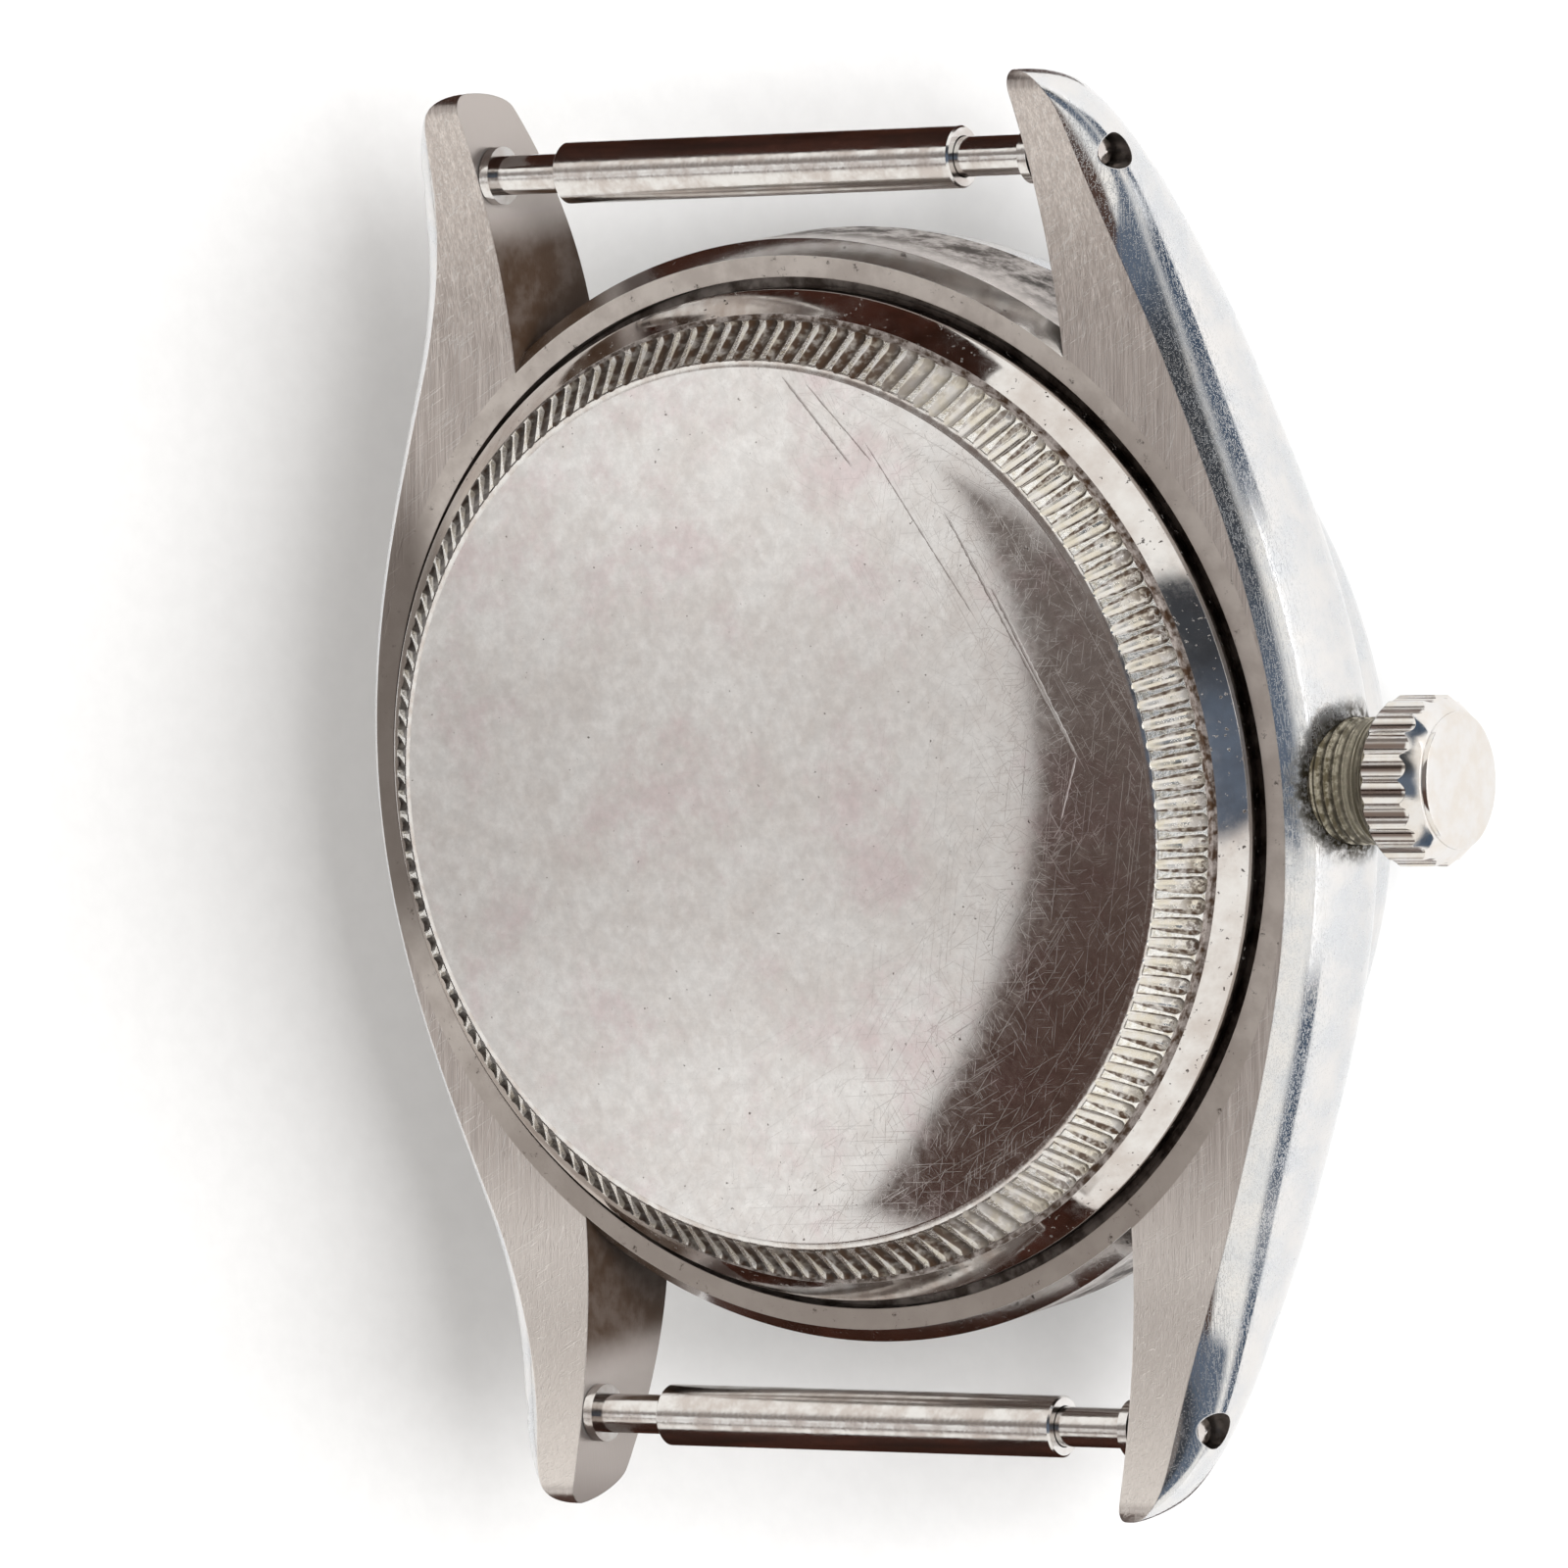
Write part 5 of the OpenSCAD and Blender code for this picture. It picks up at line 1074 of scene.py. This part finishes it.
class WATCHBACK_OT_case_back(bpy.types.Operator):
    """Models the screwed case back: domed disc, rolled edge, milled flutes, lip, polished flange and neck"""

    bl_idname = "watchback.case_back"
    bl_label = "Screwed case back"

    def execute(self, context):
        s = context.scene.watch_back
        z = context.scene.watch_case.underside
        ledge = z - 0.6 * MM
        disc_end = s.disc - s.rolled

        def dome(r):
            return s.rim + s.dome * (1 - (r / s.disc) ** 2)

        back = turned("back", back_profile(s, z, ledge, dome, disc_end), 432)

        def finish_of(middle, normal):
            radius = math.hypot(middle.x, middle.y)
            if middle.z < z / MM - 0.2 or normal.z < -0.2 or normal.xy.dot(middle.xy) < 0:
                return NECK
            if radius < disc_end / MM + 0.02:
                return DISC
            if middle.z > s.rim / MM - 0.07:
                return ROLLED
            if middle.z > s.foot / MM + 0.01:
                return RIDGE
            if radius < s.lip / MM - 0.01:
                return LIP
            return FLANGE

        stand_ins = [bpy.data.materials.new(f"place_{i}") for i in range(7)]
        dress(back, stand_ins, finish_of)
        cutters = flute_cutters(s)
        lend(cutters, stand_ins, FLUTE)
        combine(back, cutters, "DIFFERENCE")
        back = settle(back, "case_back_steel")
        finishes = (
            satin_disc(), rolled_edge(), milled_flute(), flute_ridge(), dirty_and_shaded_lip(), polished_flange(),
            bored_steel(),
        )
        change_finishes(back, stand_ins, finishes)
        smooth(back, 30)
        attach(back, "back")
        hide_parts("case_back")
        return {"FINISHED"}


class WATCHBACK_OT_crown(bpy.types.Operator):
    """Models the crown: fluted band whose flutes end in arches on a polished shoulder, with a plain cap"""

    bl_idname = "watchback.crown"
    bl_label = "Fluted crown"

    def execute(self, context):
        s = context.scene.watch_crown
        stem_z = context.scene.watch_case.stem_z
        bottom = s.start + s.band
        cap_x = bottom + s.shoulder
        # The stem is screwed into a hollow core, and the tube's thread fits in the inner radius.
        core_bore, core_r, core_end = 0.48 * MM, 0.85 * MM, bottom - 1.25 * MM
        inner = 1.86 * MM
        profile = [
            (0, bottom - 0.05 * MM), (core_bore, bottom - 0.05 * MM), (core_bore, core_end),
            (core_r, core_end), (core_r, bottom), (inner, bottom), (inner, s.start),
            (s.radius - 0.19 * MM, s.start), (s.radius, s.start + 0.22 * MM), (s.radius, bottom - 0.1 * MM),
            (s.cap + 0.09 * MM, cap_x - 0.02 * MM), (s.cap + 0.04 * MM, cap_x), (s.cap, cap_x + 0.01 * MM),
            (s.cap, cap_x + s.cap_height * 0.45),
        ]
        flat_r = s.cap - 0.1 * MM
        for degrees in (30, 60, 90):
            turn = math.radians(degrees)
            profile.append(
                (flat_r + 0.1 * MM * math.cos(turn), cap_x + s.cap_height * (0.45 + 0.3 * math.sin(turn))),
            )
        for i in range(1, 9):
            rise = 0.75 + 0.25 * math.sin(math.radians(11.25 * i))
            profile.append((flat_r * (1 - i / 8), cap_x + s.cap_height * rise))
        crown = turned("crown", profile, 176, "X")
        start_clean()
        bpy.ops.mesh.primitive_cylinder_add(
            vertices=64, radius=s.flute_radius, depth=5 * MM, rotation=(0, math.pi / 2, 0),
            location=(s.start, 0, stem_z + s.radius + s.flute_radius - s.flute_depth),
        )
        cutter = settle(bpy.context.object, "crown_flute_cutter")
        spun_copies(cutter, s.flutes, (0, 0, stem_z), (1, 0, 0))
        combine(crown, cutter, "DIFFERENCE")
        crown = settle(crown, "crown_steel")
        crown.data.materials.clear()
        crown.data.materials.append(crown_steel())
        smooth(crown, 28)
        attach(crown, "crown_body")
        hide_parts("crown")
        return {"FINISHED"}


class WATCHBACK_OT_finish_parts(bpy.types.Operator):
    """Gives every piece that keeps its own shape the finish of its metal, rubber, glass or stone"""

    bl_idname = "watchback.finish_parts"
    bl_label = "Finish the other parts"

    def execute(self, context):
        look = context.scene.watch_finishes
        plate = plain_metal("brass_gilt_and_grained", look.brass, linear("#c79c52"), 0.32, 1.2, 0.05)
        wheel = plain_metal("brass_gilt_wheel", linear("#e0bf77"), look.brass, 0.24, 0.7)
        blued = plain_metal("steel_blued_by_heat", look.blue, linear("#3b5a95"), 0.18, 0.6)
        hard = plain_metal("steel_hardened_and_polished", linear("#b9bcc2"), linear("#9a9ea6"), 0.2, 0.5)
        bright = plain_metal("steel_turned_and_polished", look.steel, look.warm_steel, 0.16, 0.8)
        grained = plain_metal("steel_sunray_grained", linear("#cfd0d2"), linear("#b5b6ba"), 0.28, 0.9, 0.04)
        finishes = {
            "crystal": clear_acrylic(), "crown_tube": tube_steel(), "dial": silvered_dial(),
            "jewels": synthetic_ruby(),
        }
        rubber = moulded_rubber()
        bezel = polished_flank()
        bezel.name = "stainless_steel_polished_bezel"
        finishes["bezel"] = bezel
        groups = {
            rubber: ("back_gasket", "tube_gasket", "crown_gasket"),
            plate: ("mainplate", "barrel_bridge", "train_bridge", "pallet_bridge", "balance_cock"),
            wheel: (
                "barrel", "centre_wheel", "third_wheel", "fourth_wheel", "escape_wheel", "balance",
                "minute_wheel", "hour_wheel",
            ),
            blued: ("bridge_screws", "clamp_screws", "click_spring", "hairspring"),
            hard: (
                "stem", "winding_pinion", "sliding_pinion", "setting_lever", "yoke", "cannon_pinion",
                "pallet_fork", "barrel_arbor", "mainspring",
            ),
            bright: (
                "spring_bar_upper", "spring_bar_lower", "bar_tip_upper_left", "bar_tip_upper_right",
                "bar_tip_lower_left", "bar_tip_lower_right", "bar_spring_upper", "bar_spring_lower",
                "crown_spring", "hour_hand", "minute_hand", "seconds_hand", "case_clamps",
            ),
            grained: ("ratchet_wheel", "crown_wheel", "crown_wheel_core", "click", "setting_wheel"),
        }
        for material, names in groups.items():
            finishes.update({name: material for name in names})
        for name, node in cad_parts.items():
            if name in finishes:
                node.data.materials.clear()
                node.data.materials.append(finishes[name])
            elif not node.hide_render:
                raise RuntimeError(f"no finish is given for {name}")
        return {"FINISHED"}


def lay_floor(tone):
    """A matt paper floor that the camera and the steel see a little brighter than it is lit."""
    start_clean()
    bpy.ops.mesh.primitive_plane_add(size=3.0, location=(0, 0, 0))
    floor = bpy.context.object
    floor.name = "floor"
    material, tree = new_tree("paper_white_matt")
    ray = add(tree, "LightPath").outputs
    seen = add(tree, "Math", ray["Is Glossy Ray"], ray["Is Transmission Ray"], operation="MAXIMUM")
    seen = add(tree, "Math", ray["Is Camera Ray"], seen, operation="MAXIMUM")
    share = add(tree, "MapRange", blotches(tree, 0.8), 0.3, 0.7, 0, 1, **SMOOTH)
    fibre = add(tree, "Mix", share, tone, linear("#d3d3d3"), **COLOURS)
    paper = add(tree, "BsdfDiffuse", named={"Color": fibre})
    strength = add(tree, "Math", seen, 0.06, operation="MULTIPLY")
    glow = add(tree, "Emission", named={"Color": (1, 1, 1, 1), "Strength": strength})
    both = add(tree, "AddShader", paper, glow)
    add(tree, "OutputMaterial", named={"Surface": both})
    floor.data.materials.append(material)


def stand_cards():
    """Cards that only the steel shows: brown ones beyond the lugs, where a strap would lie, and low blue
    ones at the right, which give the polished flank its dark line."""
    brown = card("brown_card_glowing", "#462920", "#2f1c15", 0)
    blue = card("blue_card_thinned_at_the_edge", "#5b6b7f", "#4a586c", 0.55)
    for name, material, middle, width, height, turn in (
        ("brown_card_upper", brown, (-3.7, 22.5), 25, 13.5, 0),
        ("brown_card_lower", brown, (-3.4, -22.5), 25, 13.5, 0),
        ("blue_card_upper", blue, (38, 23), 17, 17, 117),
        ("blue_card_lower", blue, (37, -23), 17, 11.4, 55),
    ):
        bpy.ops.mesh.primitive_plane_add(
            size=1, location=(middle[0] * MM, middle[1] * MM, height / 2 * MM),
            rotation=(math.pi / 2, 0, math.radians(turn)),
        )
        flag = bpy.context.object
        flag.name = name
        flag.scale = (width * MM, height * MM, 1)
        bpy.ops.object.transform_apply(location=True, rotation=True, scale=True)
        flag.data.materials.append(material)
        flag.visible_camera = flag.visible_diffuse = False
        flag.visible_shadow = flag.visible_transmission = False


def build_room(scene, strength):
    """Pale walls all round, a dim brown ceiling, a large soft window of light with a round corner on the
    left, and the dark shape of the camera and its stand at the right."""
    world = bpy.data.worlds.new("studio")
    scene.world = world
    world.use_nodes = True
    tree = world.node_tree
    tree.nodes.clear()
    way = add(tree, "TexCoord").outputs["Generated"]
    parts = add(tree, "SeparateXYZ", way)
    x, y, z = (parts.outputs[k] for k in "XYZ")
    upper = add(tree, "MapRange", y, -0.2, 0.02, 0, 1, **SMOOTH)
    dim = add(tree, "Mix", upper, linear("#5c4942"), linear("#8a827e"), **COLOURS)
    walls = add(
        tree, "Math", add(tree, "MapRange", z, -0.02, 0.03, 0, 1, **SMOOTH),
        add(tree, "MapRange", z, 0.72, 0.8, 1, 0, **SMOOTH), operation="MULTIPLY",
    )
    from_mid = add(tree, "Math", y, 0.095, operation="ADD")
    squared = add(tree, "Math", from_mid, from_mid, operation="MULTIPLY")
    bow = add(tree, "Math", squared, -3.54, operation="MULTIPLY")
    edge = add(tree, "Math", bow, x, operation="SUBTRACT")
    window = add(
        tree, "Math", add(tree, "MapRange", edge, 0.4665, 0.4725, 0, 1, **SMOOTH),
        add(tree, "MapRange", z, 0.6, 0.68, 0, 1, **SMOOTH), operation="MULTIPLY",
    )
    off = add(tree, "Math", add(tree, "Math", y, 0.11, operation="ADD"), operation="ABSOLUTE")
    sides = add(tree, "MapRange", off, 0.02, 0.11, 0, 1, **SMOOTH)
    pane = add(tree, "Mix", sides, (0.92, 0.9, 0.88, 1), (1.2, 1.19, 1.17, 1), **COLOURS)
    far = add(tree, "MapRange", x, -0.68, -0.56, 0.16, 0, **SMOOTH)
    pane = add(tree, "Mix", far, pane, (0.1, 0.1, 0.1, 1), **COLOURS)
    bearing = add(tree, "Math", y, add(tree, "Math", x, 0.001, operation="MAXIMUM"), operation="DIVIDE")
    across = add(
        tree, "Math", add(tree, "MapRange", bearing, -0.3, -0.22, 0, 1, **SMOOTH),
        add(tree, "MapRange", bearing, 0.66, 0.76, 1, 0, **SMOOTH), operation="MULTIPLY",
    )
    ahead = add(tree, "MapRange", x, 0.0, 0.1, 0, 1, **SMOOTH)
    raised = add(tree, "MapRange", z, 0.12, 0.38, 0, 1, **SMOOTH)
    stand = add(tree, "Math", across, ahead, operation="MULTIPLY")
    stand = add(tree, "Math", stand, raised, operation="MULTIPLY")
    side = add(tree, "MapRange", bearing, 0.05, 0.4, 0, 1, **SMOOTH)
    shape = add(tree, "Mix", side, linear("#6b7788"), linear("#45484d"), **COLOURS)
    light = add(tree, "Mix", walls, dim, (1.15, 1.13, 1.09, 1), **COLOURS)
    light = add(tree, "Mix", stand, light, shape, **COLOURS)
    light = add(tree, "Mix", window, light, pane, **COLOURS)
    below = add(tree, "MapRange", z, -0.05, -0.02, 1, 0, **SMOOTH)
    light = add(tree, "Mix", below, light, linear("#c9c9c9"), **COLOURS)
    shade = add(tree, "Background", named={"Color": light, "Strength": strength})
    add(tree, "OutputWorld", named={"Surface": shade})


def hang_lamp(scene, power):
    """A large soft lamp at the right, which the steel doesn't show."""
    lamp = bpy.data.lights.new("key", "AREA")
    lamp.shape = "RECTANGLE"
    lamp.size, lamp.size_y = 0.5, 0.5
    lamp.energy = power
    key = bpy.data.objects.new("key", lamp)
    scene.collection.objects.link(key)
    key.location = (0.8, 0.12, 0.5)
    key.rotation_euler = (Vector((0, 0, 0)) - key.location).to_track_quat("-Z", "Y").to_euler()
    key.visible_glossy = False


def aim_camera(scene):
    """The camera as it was fitted to the photograph."""
    camera_data = bpy.data.cameras.new("camera")
    camera_data.sensor_width = 36
    camera_data.lens = 269.15
    camera_data.clip_start = 0.01
    camera = bpy.data.objects.new("camera", camera_data)
    scene.collection.objects.link(camera)
    right = (0.83183, -0.08073, -0.54914)
    up = (0.00484, 0.99038, -0.13827)
    back = (0.55502, 0.11236, 0.82422)
    spot = (187.773 * MM, 38.599 * MM, 289.051 * MM)
    camera.matrix_world = Matrix([[right[i], up[i], back[i], spot[i]] for i in range(3)] + [[0, 0, 0, 1]])
    scene.camera = camera


class WATCHBACK_OT_stage(bpy.types.Operator):
    """Sets the pale floor, the soft studio light and the camera"""

    bl_idname = "watchback.stage"
    bl_label = "Stage"

    def execute(self, context):
        s = context.scene.watch_stage
        lay_floor(s.floor)
        stand_cards()
        build_room(context.scene, s.room)
        hang_lamp(context.scene, s.key)
        aim_camera(context.scene)
        context.scene.view_settings.view_transform = "Standard"
        return {"FINISHED"}


OPERATORS = (
    WATCHBACK_OT_stage,
    WATCHBACK_OT_middle_case,
    WATCHBACK_OT_case_back,
    WATCHBACK_OT_crown,
    WATCHBACK_OT_finish_parts,
)
GROUPS = {
    "watch_case": CaseSizes,
    "watch_back": BackSizes,
    "watch_crown": CrownSizes,
    "watch_finishes": Finishes,
    "watch_stage": StageSettings,
}


class WATCHBACK_PT_panel(bpy.types.Panel):
    """Lists the pieces and their sizes in the sidebar"""

    bl_label = "Watch back"
    bl_idname = "WATCHBACK_PT_panel"
    bl_space_type = "VIEW_3D"
    bl_region_type = "UI"
    bl_category = "Watch back"

    def draw(self, context):
        for operator in OPERATORS:
            self.layout.operator(operator.bl_idname)
        for key, group in GROUPS.items():
            box = self.layout.box()
            for prop in group.__annotations__:
                box.prop(getattr(context.scene, key), prop)


def register():
    for group in GROUPS.values():
        bpy.utils.register_class(group)
    for operator in OPERATORS:
        bpy.utils.register_class(operator)
    bpy.utils.register_class(WATCHBACK_PT_panel)
    for key, group in GROUPS.items():
        setattr(bpy.types.Scene, key, bpy.props.PointerProperty(type=group))


def unregister():
    for key in GROUPS:
        delattr(bpy.types.Scene, key)
    for kind in (WATCHBACK_PT_panel, *OPERATORS, *GROUPS.values()):
        bpy.utils.unregister_class(kind)


def main():
    """Builds the stage and all pieces."""
    register()
    bpy.ops.watchback.stage()
    bpy.ops.watchback.middle_case()
    bpy.ops.watchback.case_back()
    bpy.ops.watchback.crown()
    bpy.ops.watchback.finish_parts()


if __name__ == "__main__":
    main()
